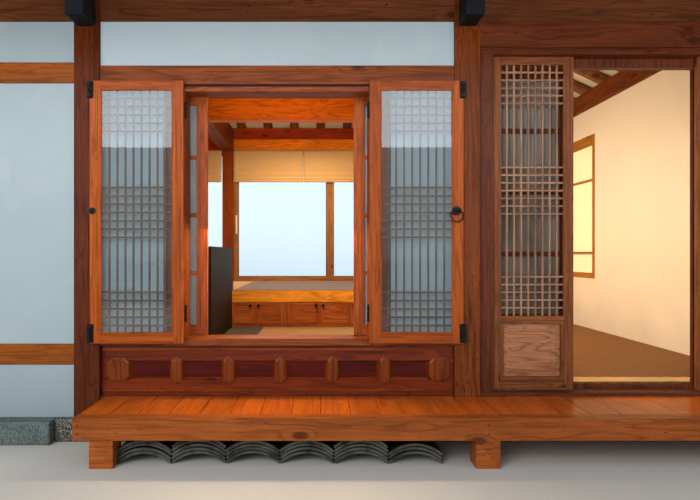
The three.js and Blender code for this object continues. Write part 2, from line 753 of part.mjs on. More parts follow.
// Room for the end frame in the outer face of the wall, with a gap all round.
function endChannels(side, heightsFront, heightsRear) {
  const xs = [side * (endRailInner - GAP), side * (END_X + 1)].sort((a, b) => a - b);
  const reach = LINE_Y;
  const channel = (y0, y1) => ([low, high]) => box(...xs, y0, y1, low - GAP, high + GAP);
  return [
    box(...xs, -HALF - GAP, HALF + GAP, 0, CROSS_TOP),
    ...heightsFront.map(channel(-reach, 0)),
    ...heightsRear.map(channel(0, reach)),
  ];
}

function makeEndWall(name, side, cutters) {
  const xs = [side * (END_X - WALL_BACK - WALL_THICK), side * (END_X - WALL_BACK)].sort((a, b) => a - b);
  const reach = LINE_Y - HALF - GAP;
  const body = box(...xs, -reach, reach, PLINTH_TOP + GAP, END_PLATE_LOW - GAP);
  const wall = cutters.reduce((left, cutter) => left.subtract(cutter), body);
  return node(name, mainBody(wall), COLOUR.plaster, 0.85);
}

// Window bay: head strip of plaster, lintel, frame, dado, casements and inner paper leaves

const BAY_X = [POST_B + HALF + GAP, POST_C - HALF - GAP];
const DADO_TOP = 597;
const LINTEL = [2261, 2366];
const LINTEL_BACK = railFace + 70;
const FRAME_X = [-617, 817];
const OPEN_X = [-479, 679];
const OPEN_Z = [640, 2200];
const FRAME_Y = [FACE_Y + 5, wallInner - 5];
const TRACK_Y = [wallInner + GAP, wallInner + 40];
const TRACK_LOW = [590, 640];
const TRACK_HIGH = [2212, 2261];
const ROOM_REACH_X = [BAY_X[0] + 5, BAY_X[1] - 5];

function makeWindowWall() {
  const body = box(...BAY_X, wallFace, wallInner, DADO_TOP + GAP, TOP_BEAM_LOW - GAP);
  const hole = box(FRAME_X[0] - GAP, FRAME_X[1] + GAP, wallFace - 1, wallInner + 1, 500, LINTEL[0] + GAP);
  const channel = box(BAY_X[0] - 1, BAY_X[1] + 1, wallFace - 1, LINTEL_BACK + GAP,
    LINTEL[0] - GAP, LINTEL[1] + GAP);
  return node("window_bay_wall", body.subtract(hole).subtract(channel), COLOUR.plaster, 0.85);
}

function makeWindowFrame() {
  const lintel = box(...BAY_X, railFace, LINTEL_BACK, ...LINTEL);
  const ring = box(...FRAME_X, ...FRAME_Y, DADO_TOP + GAP, LINTEL[0]);
  const tenon = box(...FRAME_X, railFace + 1, LINTEL_BACK - 1, LINTEL[0] - 5, LINTEL[0] + 5);
  const opening = box(...OPEN_X, FRAME_Y[0] - 1, TRACK_Y[1] + 1, ...OPEN_Z);
  const tracks = [TRACK_LOW, TRACK_HIGH].flatMap(([low, high]) => [
    box(FRAME_X[0] + 1, FRAME_X[1] - 1, FRAME_Y[1] - 1, TRACK_Y[1], Math.max(low, DADO_TOP + GAP), high),
    box(...ROOM_REACH_X, ...TRACK_Y, low, high),
  ]);
  const whole = join([lintel, tenon, ring, ...tracks]).subtract(opening);
  return node("window_frame", mainBody(whole), COLOUR.casement, 0.5);
}

const DADO_Y = [FACE_Y + 40, wallInner - 10];
const DADO_PANEL_BACK = 22;
const DADO_RAILS = [[275, 372], [499, DADO_TOP]];
const DADO_STILE = 66;
const DADO_PITCH = 331;
const DADO_MIDDLE = 120;
const DADO_ENDS = [160, 141];
const DADO_STILE_Z = [280, 590];

function makeDado() {
  const [y0, y1] = DADO_Y;
  const ground = box(...BAY_X, railFace, wallInner, PLINTH_TOP + GAP, DADO_RAILS[0][0]);
  const panel = box(...BAY_X, y0 + DADO_PANEL_BACK, y1, DADO_RAILS[0][0] - 1, DADO_TOP);
  const railPieces = DADO_RAILS.map(([low, high]) => box(...BAY_X, y0, y1, low, high));
  const stiles = [-2, -1, 0, 1, 2].map((k) => {
    const x = DADO_MIDDLE + k * DADO_PITCH;
    return box(x - DADO_STILE / 2, x + DADO_STILE / 2, y0, y1, ...DADO_STILE_Z);
  });
  const ends = [
    box(BAY_X[0], BAY_X[0] + DADO_ENDS[0], y0, y1, ...DADO_STILE_Z),
    box(BAY_X[1] - DADO_ENDS[1], BAY_X[1], y0, y1, ...DADO_STILE_Z),
  ];
  return node("dado", join([ground, panel, ...railPieces, ...stiles, ...ends]), COLOUR.dado, 0.45);
}

// A framed leaf: stiles, top and bottom rails, cross rails and a thin filling.
function framedLeaf({ x0, x1, y0, y1, z0, z1, stile, top, bottom, bars = [], sheet = 8 }) {
  const body = box(x0, x1, y0, y1, z0, z1);
  const hole = box(x0 + stile, x1 - stile, y0 - 1, y1 + 1, z0 + bottom, z1 - top);
  const middle = (y0 + y1) / 2;
  const filling = box(x0 + stile - 1, x1 - stile + 1, middle - sheet / 2, middle + sheet / 2,
    z0 + bottom - 1, z1 - top + 1);
  const cross = bars.map(([low, high]) => box(x0 + 1, x1 - 1, y0 + 4, y1 - 4, low, high));
  return join([body.subtract(hole), filling, ...cross]);
}

const CASEMENT = { y0: FACE_Y - 38, y1: FACE_Y - 2, z0: 616, z1: 2257, stile: 66, top: 53, bottom: 64 };
const CASEMENT_X = [[-1066, -481], [681, 1266]];
const HINGE = { heights: [760, 2110], wide: 30, half: 55 };

// The casements stand open against the wall, on iron hinges at the frame's jambs.
function makeCasements() {
  CASEMENT_X.forEach(([x0, x1], i) => {
    const { heights, wide, half } = HINGE;
    const jamb = i === 0 ? x1 - wide : x0;
    const ys = [CASEMENT.y1 - 1, FRAME_Y[0] - GAP];
    const hinges = heights.map((z) => box(jamb, jamb + wide, ...ys, z - half, z + half));
    const leaf = framedLeaf({ ...CASEMENT, x0, x1 });
    node(i === 0 ? "window_leaf_left" : "window_leaf_right", join([leaf, ...hinges]), COLOUR.casement, 0.5);
  });
}

const PAPER_WIDE = 600;
const PAPER_EDGES = [-368, 593];
const PAPER = {
  y0: TRACK_Y[0] + 4, y1: TRACK_Y[1] - 4, z0: TRACK_LOW[1] + GAP, z1: TRACK_HIGH[0] - GAP,
  stile: 71, top: 60, bottom: 70, bars: [[1038, 1062], [1418, 1442], [1798, 1822]], sheet: 6,
};

function makePaperLeaves() {
  const [left, right] = PAPER_EDGES;
  const spans = [[left - PAPER_WIDE, left], [right, right + PAPER_WIDE]];
  spans.forEach(([x0, x1], i) => {
    const leaf = framedLeaf({ ...PAPER, x0, x1 });
    node(i === 0 ? "paper_leaf_left" : "paper_leaf_right", leaf, COLOUR.casement, 0.6);
  });
}

// Door bay: deep lintel, grooved head, jambs, sill, fixed lattice leaves and sliding leaves

const DOOR_X = [POST_C + HALF + GAP, POST_D - HALF - GAP];
const DOOR_MIDDLE = 2400;
const JAMB_X = [1472, 3328];
const JAMB_BACK = 30;
const LATTICE_Y = [FACE_Y + 70, FACE_Y + 106];
const SLIDE_Y = [FACE_Y + 115, FACE_Y + 145];
const INNER_Y = [FACE_Y + 108, FACE_Y + 154];
const DOOR_HEAD = 2445;
const DOOR_LINTEL = 2483;
const INNER_HEAD = 2384;
const OUTER_SILL = 299;
const INNER_SILL = 323;
const RUNNER = { half: 4, tall: 5 };

function makeDoorFrame() {
  const jambFace = FACE_Y + JAMB_BACK;
  const [x0, x1] = DOOR_X;
  const parts = [
    box(x0, x1, railFace, INNER_Y[1], DOOR_LINTEL, TOP_BEAM_LOW - GAP),
    box(x0, x1, jambFace, INNER_Y[1], DOOR_HEAD, DOOR_LINTEL + 1),
    box(x0, x1, ...INNER_Y, INNER_HEAD, DOOR_LINTEL),
    box(x0, JAMB_X[0], jambFace, INNER_Y[1], PLINTH_TOP + GAP, DOOR_LINTEL),
    box(JAMB_X[1], x1, jambFace, INNER_Y[1], PLINTH_TOP + GAP, DOOR_LINTEL),
    box(x0, x1, railFace, INNER_Y[1], PLINTH_TOP + GAP, OUTER_SILL),
    box(x0, x1, ...INNER_Y, OUTER_SILL - 1, INNER_SILL),
  ];
  const centre = (SLIDE_Y[0] + SLIDE_Y[1]) / 2;
  const track = box(JAMB_X[0] - 1, JAMB_X[1] + 1, centre - RUNNER.half, centre + RUNNER.half,
    INNER_SILL - 1, INNER_SILL + RUNNER.tall);
  const whole = join([...parts, track]);
  return node("door_frame", whole, COLOUR.lattice, 0.55);
}

const LATTICE = {
  y0: LATTICE_Y[0], y1: LATTICE_Y[1], z0: OUTER_SILL + GAP, z1: DOOR_HEAD - GAP,
  stile: 58, top: 52, bottom: 63, bars: [[747, 776]],
};
const LATTICE_WIDE = 530;
const FOOT_PANEL = { z0: 385, z1: 724, inset: 30, thick: 24 };

function latticeLeaf(x0, x1) {
  const leaf = framedLeaf({ ...LATTICE, x0, x1 });
  const { z0, z1, inset, thick } = FOOT_PANEL;
  const middle = (LATTICE.y0 + LATTICE.y1) / 2;
  const edge = LATTICE.stile + inset;
  const panel = box(x0 + edge, x1 - edge, middle - thick / 2, middle + thick / 2, z0, z1);
  return leaf.add(panel);
}

function makeLatticeLeaves() {
  const [left, right] = JAMB_X;
  node("lattice_leaf_left", latticeLeaf(left + GAP, left + LATTICE_WIDE), COLOUR.lattice, 0.55);
  node("lattice_leaf_right", latticeLeaf(right - LATTICE_WIDE, right - GAP), COLOUR.lattice, 0.55);
}

// The sliding leaves stand parked behind the lattice and meet in the middle when they close.
const SLIDE_WIDE = 525;
const SLIDE_CLEAR = 6;
const SLIDE = {
  y0: SLIDE_Y[0], y1: SLIDE_Y[1], z0: INNER_SILL + RUNNER.tall + GAP, z1: INNER_HEAD - 5,
  stile: 60, top: 60, bottom: 90, bars: [[735, 785], [1160, 1190], [1562, 1592], [1962, 1992]],
};

function makeSlidingLeaves() {
  const parked = JAMB_X[0] + SLIDE_CLEAR;
  const spans = [[parked, parked + SLIDE_WIDE]];
  spans.push([2 * DOOR_MIDDLE - spans[0][1], 2 * DOOR_MIDDLE - spans[0][0]]);
  spans.forEach(([x0, x1], i) => {
    const leaf = framedLeaf({ ...SLIDE, x0, x1 });
    node(i === 0 ? "sliding_leaf_left" : "sliding_leaf_right", leaf, COLOUR.leaf, 0.5);
  });
}

// Porch, stacked tiles and lamps

const PORCH_X = [-985, END_X];
const PORCH_Y = [-2937, FACE_Y - GAP];
const PORCH_TOP = 277;
const PORCH_BEAM_LOW = 155;
const PORCH_BEAM_THICK = 80;
const PORCH_BOARD = 35;
const LEG = 130;
const LEG_X = [-830, 1290, 3440];
const LEG_BACK = 4;
const LEDGER = 50;
const JOIST_HALF = 40;
const JOIST_BACK = 10;

function makePorch() {
  const [x0, x1] = PORCH_X;
  const [y0, y1] = PORCH_Y;
  const underside = PORCH_TOP - PORCH_BOARD - GAP;
  const beam = box(x0, x1, y0, y0 + PORCH_BEAM_THICK, PORCH_BEAM_LOW, PORCH_TOP);
  const ledger = box(x0, x1, y1 - LEDGER, y1, PORCH_BEAM_LOW, underside);
  const legY = [y0 + LEG_BACK, y0 + LEG_BACK + LEG];
  const legs = LEG_X.map((x) => box(x - LEG / 2, x + LEG / 2, ...legY, 0, PORCH_BEAM_LOW + 1));
  const joistY = [y0 + JOIST_BACK, y1 - JOIST_BACK];
  const joists = [x0 + JOIST_HALF, ...LEG_X, x1 - JOIST_HALF].map((x) =>
    box(Math.max(x - JOIST_HALF, x0), Math.min(x + JOIST_HALF, x1), ...joistY, PORCH_BEAM_LOW, underside));
  node("porch_frame", join([beam, ledger, ...legs, ...joists]), COLOUR.porch, 0.4);
  const boards = box(x0, x1, y0 + PORCH_BEAM_THICK + GAP, railFace - GAP, underside + GAP, PORCH_TOP);
  const cutters = [POST_B, POST_C, POST_D].map((x) =>
    box(x - HALF - GAP, x + HALF + GAP, FACE_Y - GAP, BACK_Y, 0, 2 * PORCH_TOP));
  const cutBoards = cutters.reduce((left, cutter) => left.subtract(cutter), boards);
  node("porch_boards", mainBody(cutBoards), COLOUR.porch, 0.3);
}

const STACK = { first: -764.7, pitch: 303, count: 6, tiles: 4, rise: 23, thick: 19, arch: 60, half: 152 };
const STACK_Y = [-2872, -2600];

// The outline of one stack: an arch below, and the same arch lifted by the upper tiles.
function stackPoints(centre) {
  const { half, arch, thick, tiles, rise } = STACK;
  const radius = (half * half + arch * arch) / (2 * arch);
  const spread = Math.asin(half / radius);
  const angles = [-1, -0.6, -0.2, 0.2, 0.6, 1].map((part) => part * spread);
  const arc = (lift) => angles.map((a) =>
    [centre + radius * Math.sin(a), arch - radius + radius * Math.cos(a) + lift]);
  return [...arc(0), ...arc(thick + (tiles - 1) * rise).reverse()].reverse();
}

function makeTileStacks() {
  const { first, pitch, count, half } = STACK;
  const stacks = Array.from({ length: count }, (_, i) =>
    alongY(stackPoints(first + half + i * pitch), ...STACK_Y));
  return node("tile_stacks", mainBody(join(stacks)), COLOUR.tile, 0.8);
}

const LAMP = { half: 55, deep: 180, low: 2610, high: 2820 };

function makeLamps() {
  const { half, deep, low, high } = LAMP;
  [["lamp_left", POST_B], ["lamp_right", POST_C]].forEach(([name, x]) => {
    node(name, box(x - half, x + half, FACE_Y - GAP - deep, FACE_Y - GAP, low, high), COLOUR.lamp, 0.5, 0.6);
  });
}

// Room fittings: the dais with its cupboards, the counter beside it and the roman shades

const DAIS = { x0: -631, x1: POST_C - HALF - GAP, top: 753, lip: 130, setBack: 20 };
const COUNTER = { x0: -1090, x1: DAIS.x0 - GAP, y0: -868, top: 1246 };

function makeRoomFittings() {
  const rear = -wallInner - GAP;
  const low = FLOOR_TOP + GAP;
  const lipLow = DAIS.top - DAIS.lip;
  const body = box(DAIS.x0, DAIS.x1, DAIS_FRONT + DAIS.setBack, rear, low, lipLow + 1);
  const lip = box(DAIS.x0, DAIS.x1, DAIS_FRONT, rear, lipLow, DAIS.top);
  node("dais", join([body, lip]), COLOUR.dais, 0.5);
  const counter = box(COUNTER.x0, COUNTER.x1, COUNTER.y0, DAIS_FRONT, low, COUNTER.top);
  node("counter", counter, COLOUR.lamp, 0.5);
}

const SHADE = { y0: 2305, low: 2257, high: CROSS_LOW - 1, thick: 14, rail: 40 };
const SHADE_X = [[-920, 133], [141, 1160]];
const LEFT_SHADE_X = [-2960, -1096];
const SHADE_RAIL_END = 1100;

function makeShades() {
  const { y0, low, high, thick, rail: railTall } = SHADE;
  const panel = (x0, x1) => box(x0, x1, y0, y0 + thick, low, high);
  const windowFace = -wallInner + REAR_WINDOW_DEEP;
  const rail = (x0, x1) => box(x0, x1, y0, windowFace - GAP, high - railTall, high);
  const [first, second] = SHADE_X;
  const pair = [panel(...first), panel(...second), rail(first[0], SHADE_RAIL_END)];
  node("roman_shades", join(pair), COLOUR.cloth, 0.9);
  node("left_roman_shade", join([panel(...LEFT_SHADE_X), rail(...LEFT_SHADE_X)]), COLOUR.cloth, 0.9);
}

// The whole house, from the roof down

makeMainRafters("rafters_front", -1);
makeMainRafters("rafters_rear", 1);
makeEndRafters("rafters_left_end", -1);
makeEndRafters("rafters_right_end", 1);
makeSlopes();
makeRidges();
makeGable("gable_left", -1);
makeGable("gable_right", 1);
const seats = seatCutters();
makePlate("front_plate", -1, POST_X, TOP_BEAM_TOP, TOP_BEAM_LOW, seats);
makePlate("rear_plate", 1, REAR_POST_X, REAR_PLATE_LOW, REAR_HEAD, seats);
makeEndPlate("left_end_plate", -1);
makeEndPlate("right_end_plate", 1);
makeRoofFrame(seats);

makePlinth();
makeFrontPosts();
makeRearFrame();
const endRails = [RAIL_LOW, RAIL_HIGH];
const windowRails = [RAIL_LOW, END_LINTEL];
makeEndFrame("left_end_frame", -1, endRails, endRails);
makeEndFrame("right_end_frame", 1, endRails, windowRails);
makeEndWindow();
makeFrontWall();
makeWindowWall();
makeRearWalls();
makeEndWall("left_end_wall", -1, endChannels(-1, endRails, endRails));
makeEndWall("right_end_wall", 1, [...endChannels(1, endRails, windowRails), endHole()]);

makeWindowFrame();
makeDado();
makeCasements();
makePaperLeaves();
const doorFrame = makeDoorFrame();
makeLatticeLeaves();
makeSlidingLeaves();
makeFloor([doorFrame, box(...DOOR_X, ...INNER_Y, PLINTH_TOP, 2 * FLOOR_TOP)]);
makePorch();
makeTileStacks();
makeLamps();
makeRoomFittings();
makeShades();

export default house;
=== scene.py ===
# %% [markdown]
# # A small hanok house, dressed piece by piece
#
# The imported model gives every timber, wall and roof slope its true size and place. This lesson
# dresses it: rows of clay tiles, lattice leaves, glass, paper, plaster and stone. Sizes in the
# lists below are millimetres, as on a carpenter's drawing, and the helpers turn them into metres.

import math
import random

import bmesh
import bpy
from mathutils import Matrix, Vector


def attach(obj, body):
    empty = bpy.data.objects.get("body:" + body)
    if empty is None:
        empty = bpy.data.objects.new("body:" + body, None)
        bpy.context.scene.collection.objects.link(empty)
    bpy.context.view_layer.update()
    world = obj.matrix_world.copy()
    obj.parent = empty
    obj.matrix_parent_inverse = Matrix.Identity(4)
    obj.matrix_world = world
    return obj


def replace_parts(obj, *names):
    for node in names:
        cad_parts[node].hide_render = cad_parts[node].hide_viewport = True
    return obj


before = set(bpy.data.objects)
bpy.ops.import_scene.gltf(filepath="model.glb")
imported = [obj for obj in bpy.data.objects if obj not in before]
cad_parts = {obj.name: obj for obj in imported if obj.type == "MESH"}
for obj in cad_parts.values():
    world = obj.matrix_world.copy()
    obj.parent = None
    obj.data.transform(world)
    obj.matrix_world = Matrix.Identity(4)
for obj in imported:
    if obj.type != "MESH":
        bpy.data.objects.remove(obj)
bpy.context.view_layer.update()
MM = 0.001
HOUSE = "house"
draw = random.Random(41)

# %% [markdown]
# ## Camera
#
# The house is seen square on, from a standing visitor's chest height, so vertical and level lines
# stay straight. A wide lens and a small shift put the front bays where a photographer would.

# %% Camera
PICTURE_WIDTH = 700
SHIFT_RIGHT, SHIFT_UP = 32, 4
camera_data = bpy.data.cameras.new("visitor")
camera_data.lens = 28
camera_data.sensor_width = 36
camera_data.shift_x = SHIFT_RIGHT / PICTURE_WIDTH
camera_data.shift_y = SHIFT_UP / PICTURE_WIDTH
camera = bpy.data.objects.new("visitor", camera_data)
camera.location = (0.358, -5.91, 1.175)
camera.rotation_euler = (math.radians(90), 0, 0)
bpy.context.scene.collection.objects.link(camera)
bpy.context.scene.camera = camera
print("camera at", tuple(camera.location))

# %% [markdown]
# ## A workbench for mesh code
#
# Joinery is many straight members. A `Work` collects their points and faces, and writes down for
# each point where it lies along the member's own fibres, so that one wood material can follow every
# member. Sharp corners are eased later by a small bevel, which catches the light as a planed
# edge does.

# %% The workbench
ORDER = {0: (0, 1, 2), 1: (1, 2, 0), 2: (2, 0, 1)}
LONGEST_JOG = 9


class Work:
    """Faces collected for one piece, with fibre coordinates for each point."""

    def __init__(self):
        self.points, self.faces, self.fibres = [], [], []

    def add(self, points, faces, along=2):
        """Points in millimetres. along is the axis that the fibres follow."""
        start = len(self.points)
        jog = [draw.uniform(0, LONGEST_JOG) for _ in range(3)]
        for point in points:
            metres = [value * MM for value in point]
            self.points.append(metres)
            self.fibres.append([metres[axis] + jog[i] for i, axis in enumerate(ORDER[along])])
        self.faces += [[start + corner for corner in face] for face in faces]

    def bar(self, low, high, along=None):
        """A straight member between two corners, with its fibres along its longest side."""
        if along is None:
            spans = [high[i] - low[i] for i in range(3)]
            along = spans.index(max(spans))
        (x0, y0, z0), (x1, y1, z1) = low, high
        points = [(x, y, z) for z in (z0, z1) for x, y in ((x0, y0), (x1, y0), (x1, y1), (x0, y1))]
        faces = [(3, 2, 1, 0), (4, 5, 6, 7), (0, 1, 5, 4), (1, 2, 6, 5), (2, 3, 7, 6), (3, 0, 4, 7)]
        self.add(points, faces, along)

    def bars(self, spans):
        """Straight members, each given as two corners and, if need be, its fibres' axis."""
        for span in spans:
            self.bar(*span)

    def strip(self, rows, along=2, closed=False, ends=True):
        """Skin over rows of points; a closed row is a ring, and ends puts a lid on each end."""
        count = len(rows[0])
        points = [point for row in rows for point in row]
        faces = []
        for r in range(len(rows) - 1):
            for c in range(count if closed else count - 1):
                a, b = r * count + c, r * count + (c + 1) % count
                faces.append((a, b, b + count, a + count))
        if closed and ends:
            faces.append(tuple(range(count))[::-1])
            faces.append(tuple(range(len(points) - count, len(points))))
        self.add(points, faces, along)


def rims(low, high, wide):
    """The two strips of one width at the ends of a span."""
    return (low, low + wide), (high - wide, high)


def steps(start, end, count):
    """Even steps from start to end, both of them included."""
    return [start + (end - start) * k / count for k in range(count + 1)]


def surround(work, xs, ys, zs, wide, tall=None):
    """Four strips round an opening: two uprights, and two level ones between them."""
    for a, b in rims(*xs, wide):
        work.bar((a, ys[0], zs[0]), (b, ys[1], zs[1]))
    for a, b in rims(*zs, tall or wide):
        work.bar((xs[0] + wide, ys[0], a), (xs[1] - wide, ys[1], b))


def turned(work, profile, sides, along, place):
    """A round body. profile lists the radius and depth of each ring; place makes them a point."""
    angles = [2 * math.pi * k / sides for k in range(sides)]
    work.strip([[place(r * math.cos(a), r * math.sin(a), depth) for a in angles]
                for r, depth in profile], along=along, closed=True)


print("workbench ready")

# %% From the workbench to a piece that belongs to the house
def piece(name, work, material, body=HOUSE, ease=0.0, smooth=None):
    """The collected faces as one object that rides on a body of the frame."""
    mesh = bpy.data.meshes.new(name)
    mesh.from_pydata(work.points, [], work.faces)
    shell = bmesh.new()
    shell.from_mesh(mesh)
    bmesh.ops.recalc_face_normals(shell, faces=shell.faces)
    shell.to_mesh(mesh)
    shell.free()
    fibre = mesh.attributes.new("fibre", "FLOAT_VECTOR", "POINT")
    fibre.data.foreach_set("vector", [value for place in work.fibres for value in place])
    mesh.materials.append(material)
    thing = bpy.data.objects.new(name, mesh)
    bpy.context.scene.collection.objects.link(thing)
    if smooth is not None:
        mesh.polygons.foreach_set("use_smooth", [True] * len(mesh.polygons))
        mesh.set_sharp_from_angle(angle=math.radians(smooth))
    if ease:
        ease_edges(thing, ease)
    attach(thing, body)
    print(name, len(mesh.polygons), "faces")
    return thing


def bars(name, spans, material, ease=0.0):
    """A piece of nothing but straight members."""
    work = Work()
    work.bars(spans)
    return piece(name, work, material, ease=ease)


def ease_edges(thing, width):
    """A small bevel along every sharp edge, width in millimetres."""
    bevel = thing.modifiers.new("eased", "BEVEL")
    bevel.width = width * MM
    bevel.segments = 1
    bevel.limit_method = "ANGLE"
    bevel.angle_limit = math.radians(40)


def thicken(thing, name, thickness):
    """Gives a skin its thickness, half to each side, in millimetres."""
    thick = thing.modifiers.new(name, "SOLIDIFY")
    thick.thickness = thickness * MM
    thick.offset = 0


def dress(nodes, material, ease=0.0):
    """Gives solids of the frame a better material, and eases their edges."""
    for node in nodes:
        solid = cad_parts[node]
        solid.data.materials.clear()
        solid.data.materials.append(material)
        if ease:
            ease_edges(solid, ease)
    print("dressed", len(nodes), "solids in", material.name)


print("pieces can be made")

# %% [markdown]
# ## Building materials from nodes
#
# Every finish here is worked out by shader nodes. A `Field` is the output of a node: a number,
# colour or place that changes over the surface. Plain arithmetic on a field adds Math nodes, and
# the helpers below add the others, so a recipe reads like a sum. Colours are screen colour codes.

# %% Fields and helpers for shader nodes
class Field:
    """Something that changes over a surface. Arithmetic on it adds nodes to its tree."""

    def __init__(self, socket):
        self.socket, self.tree = socket, socket.id_data

    def step(self, operation, a, b=0.5, clamp=False):
        return put(self.tree, "Math", 0, {"operation": operation, "use_clamp": clamp}, i0=a, i1=b)

    def __add__(self, other):
        return self.step("ADD", self, other)

    def __sub__(self, other):
        return self.step("SUBTRACT", self, other)

    def __rsub__(self, other):
        return self.step("SUBTRACT", other, self)

    def __mul__(self, other):
        return self.step("MULTIPLY", self, other)

    def __abs__(self):
        return self.step("ABSOLUTE", self)


def rgb(hex_code):
    """A screen colour code as the linear colour that Blender mixes."""
    screen = [int(hex_code[i:i + 2], 16) / 255 for i in (0, 2, 4)]
    linear = [v / 12.92 if v <= 0.04045 else ((v + 0.055) / 1.055) ** 2.4 for v in screen]
    return (*linear, 1.0)


def plug(socket, value):
    """Links a field into a socket, or sets a number, a place or a colour code on it."""
    if isinstance(value, Field):
        value.tree.links.new(value.socket, socket)
    else:
        socket.default_value = rgb(value) if isinstance(value, str) else value


def put(tree, kind, output=0, settings=None, **inputs):
    """One node; returns one output. Inputs go by socket name, or by number as i0, i1."""
    node = tree.nodes.new("ShaderNode" + kind)
    for key, value in (settings or {}).items():
        setattr(node, key, value)
    for key, value in inputs.items():
        by_number = key[0] == "i" and key[1:].isdigit()
        plug(node.inputs[int(key[1:]) if by_number else key.replace("_", " ")], value)
    return Field(node.outputs[output])


def between(value, low, high, to_low=0.0, to_high=1.0):
    """Rescales value from low..high to to_low..to_high, softly, and holds it there."""
    return put(value.tree, "MapRange", 0, {"interpolation_type": "SMOOTHSTEP"}, Value=value,
               From_Min=low, From_Max=high, To_Min=to_low, To_Max=to_high)


def mix(factor, a, b):
    """Mixes two colours."""
    return put(factor.tree, "Mix", 2, {"data_type": "RGBA"}, Factor=factor, i6=a, i7=b)


def noise(place, scale, detail=2.0, rough=0.5, warp=0.0):
    """Noise between 0 and 1 at a place."""
    return put(place.tree, "TexNoise", 0, Vector=place, Scale=scale, Detail=detail, Roughness=rough,
               Distortion=warp)


def stretched(place, factors):
    """A place multiplied along each axis."""
    return put(place.tree, "VectorMath", 0, {"operation": "MULTIPLY"}, i0=place, i1=factors)


def scaled(place, factor):
    """A place or colour multiplied by one number."""
    return put(place.tree, "VectorMath", 0, {"operation": "SCALE"}, i0=place, Scale=factor)


def dot(a, b):
    """How far two directions agree."""
    return put(a.tree, "VectorMath", "Value", {"operation": "DOT_PRODUCT"}, i0=a, i1=b)


def part(place, axis):
    """One axis of a place or one channel of a colour."""
    return put(place.tree, "SeparateXYZ", axis, i0=place)


def cells(place, scale, output):
    """Cells round scattered points: their distance or their own colour."""
    return put(place.tree, "TexVoronoi", output, {"feature": "F1"}, Vector=place, Scale=scale)


def surface(tree, output):
    """What Blender knows of the surface: its normal, or a number for each loose member."""
    return put(tree, "NewGeometry", output)


def room_place(tree):
    """The place in the house's own axes, in metres."""
    return put(tree, "TexCoord", "Object")


print("fields ready")

# %% Node groups and whole finishes
def group(name, inputs, outputs):
    """An empty node group with named sockets. Returns its fields and its end."""
    tree = bpy.data.node_groups.new(name, "ShaderNodeTree")
    for label, value in inputs.items():
        kind = "Vector" if value is None else "Color" if isinstance(value, str) else "Float"
        socket = tree.interface.new_socket(name=label, in_out="INPUT",
                                           socket_type="NodeSocket" + kind)
        if value is not None:
            plug(socket, value)
    for label in outputs:
        kind = "Color" if label == "Color" else "Float"
        tree.interface.new_socket(name=label, in_out="OUTPUT", socket_type="NodeSocket" + kind)
    start = tree.nodes.new("NodeGroupInput").outputs
    end = tree.nodes.new("NodeGroupOutput").inputs
    return {label: Field(start[label]) for label in inputs}, end


def use(tree, name, **inputs):
    """Places a node group in a material; returns its outputs by name."""
    node = tree.nodes.new("ShaderNodeGroup")
    node.node_tree = bpy.data.node_groups[name]
    for label, value in inputs.items():
        plug(node.inputs[label], value)
    return {output.name: Field(output) for output in node.outputs}


class Finish:
    """A material with a Principled shader; plain values are set on the shader's own sockets."""

    def __init__(self, name, **values):
        self.material = bpy.data.materials.new(name)
        self.material.use_nodes = True
        self.tree = self.material.node_tree
        self.shader = self.tree.nodes["Principled BSDF"].inputs
        self.feed(**values)

    def feed(self, **values):
        """Plugs fields or plain values into the shader, by socket name."""
        for key, value in values.items():
            plug(self.shader[key.replace("_", " ")], value)

    def done(self, colour, height, distance, strength=0.6, **values):
        """Plugs in the colour and a height for the relief; distance in millimetres."""
        relief = put(self.tree, "Bump", "Normal", Height=height, Distance=distance * MM,
                     Strength=strength)
        self.feed(Base_Color=colour, Normal=relief, **values)
        return self.material


print("groups and finishes ready")

# %% [markdown]
# ## Wood figure
#
# Sawn pine shows flame shapes of early and late wood, fine fibres, small dark knots that the
# rings flow round, and drying checks along the grain. The flames come from folding a stretched
# noise back and forth, and each knot lifts that noise a little, which bends the rings round it.
# Small dark flecks gather in patches. Each loose member also gets its own tone, as no two boards
# match.

# %% The wood figure group
take, give = group("wood_figure", {"Place": None, "Light": "B07840", "Dark": "6B3A1C",
                                   "Bands": 10.0, "Checks": 0.5, "Variety": 0.25, "Knots": 0.8},
                   ("Color", "Roughness", "Height"))
place = take["Place"]
knot_place = stretched(place, (3.2, 6.5, 6.5))
from_knot = cells(knot_place, 1.0, "Distance")
rare = between(part(cells(knot_place, 1.0, "Color"), "X"), 0.5, 0.54) * take["Knots"]
knot = between(from_knot, 0.1, 0.2, 1.0, 0.0) * rare
halo = between(from_knot, 0.0, 0.5, 1.0, 0.0) * rare
broad = noise(stretched(place, (0.6, 9.0, 9.0)), 1.0, 2.0, 0.5, 0.3)
folded = broad.step("PINGPONG", (broad + halo * 0.22) * take["Bands"], 0.5)
fibres = noise(stretched(place, (7.0, 260.0, 260.0)), 1.0, 2.0, 0.7)
streak = noise(stretched(place, (1.2, 58.0, 58.0)), 1.0, 4.0, 0.7)
blotch = noise(stretched(place, (1.6, 5.0, 5.0)), 1.0, 4.0, 0.6)
checks = between(abs(streak - 0.5), 0.0, 0.018, 1.0, 0.0) * between(blotch, 0.54, 0.62)
flecks = noise(stretched(place, (17.0, 62.0, 62.0)), 1.0, 2.0, 0.6)
flecks = between(flecks, 0.66, 0.73) * between(blotch, 0.42, 0.56)
checks = checks.step("MAXIMUM", checks, flecks) * take["Checks"]
amount = between(folded, 0.22, 0.5) * 0.42 + streak * 0.95
colour = mix(amount.step("SUBTRACT", amount, 0.3, True), take["Light"], take["Dark"])
colour = mix(between(fibres, 0.38, 0.68, 0.0, 0.4), colour, take["Dark"])
own_tone = (surface(place.tree, "Random Per Island") - 0.5) * take["Variety"]
colour = scaled(colour, own_tone + between(blotch, 0.25, 0.75, -0.2, 0.2) + 1.0)
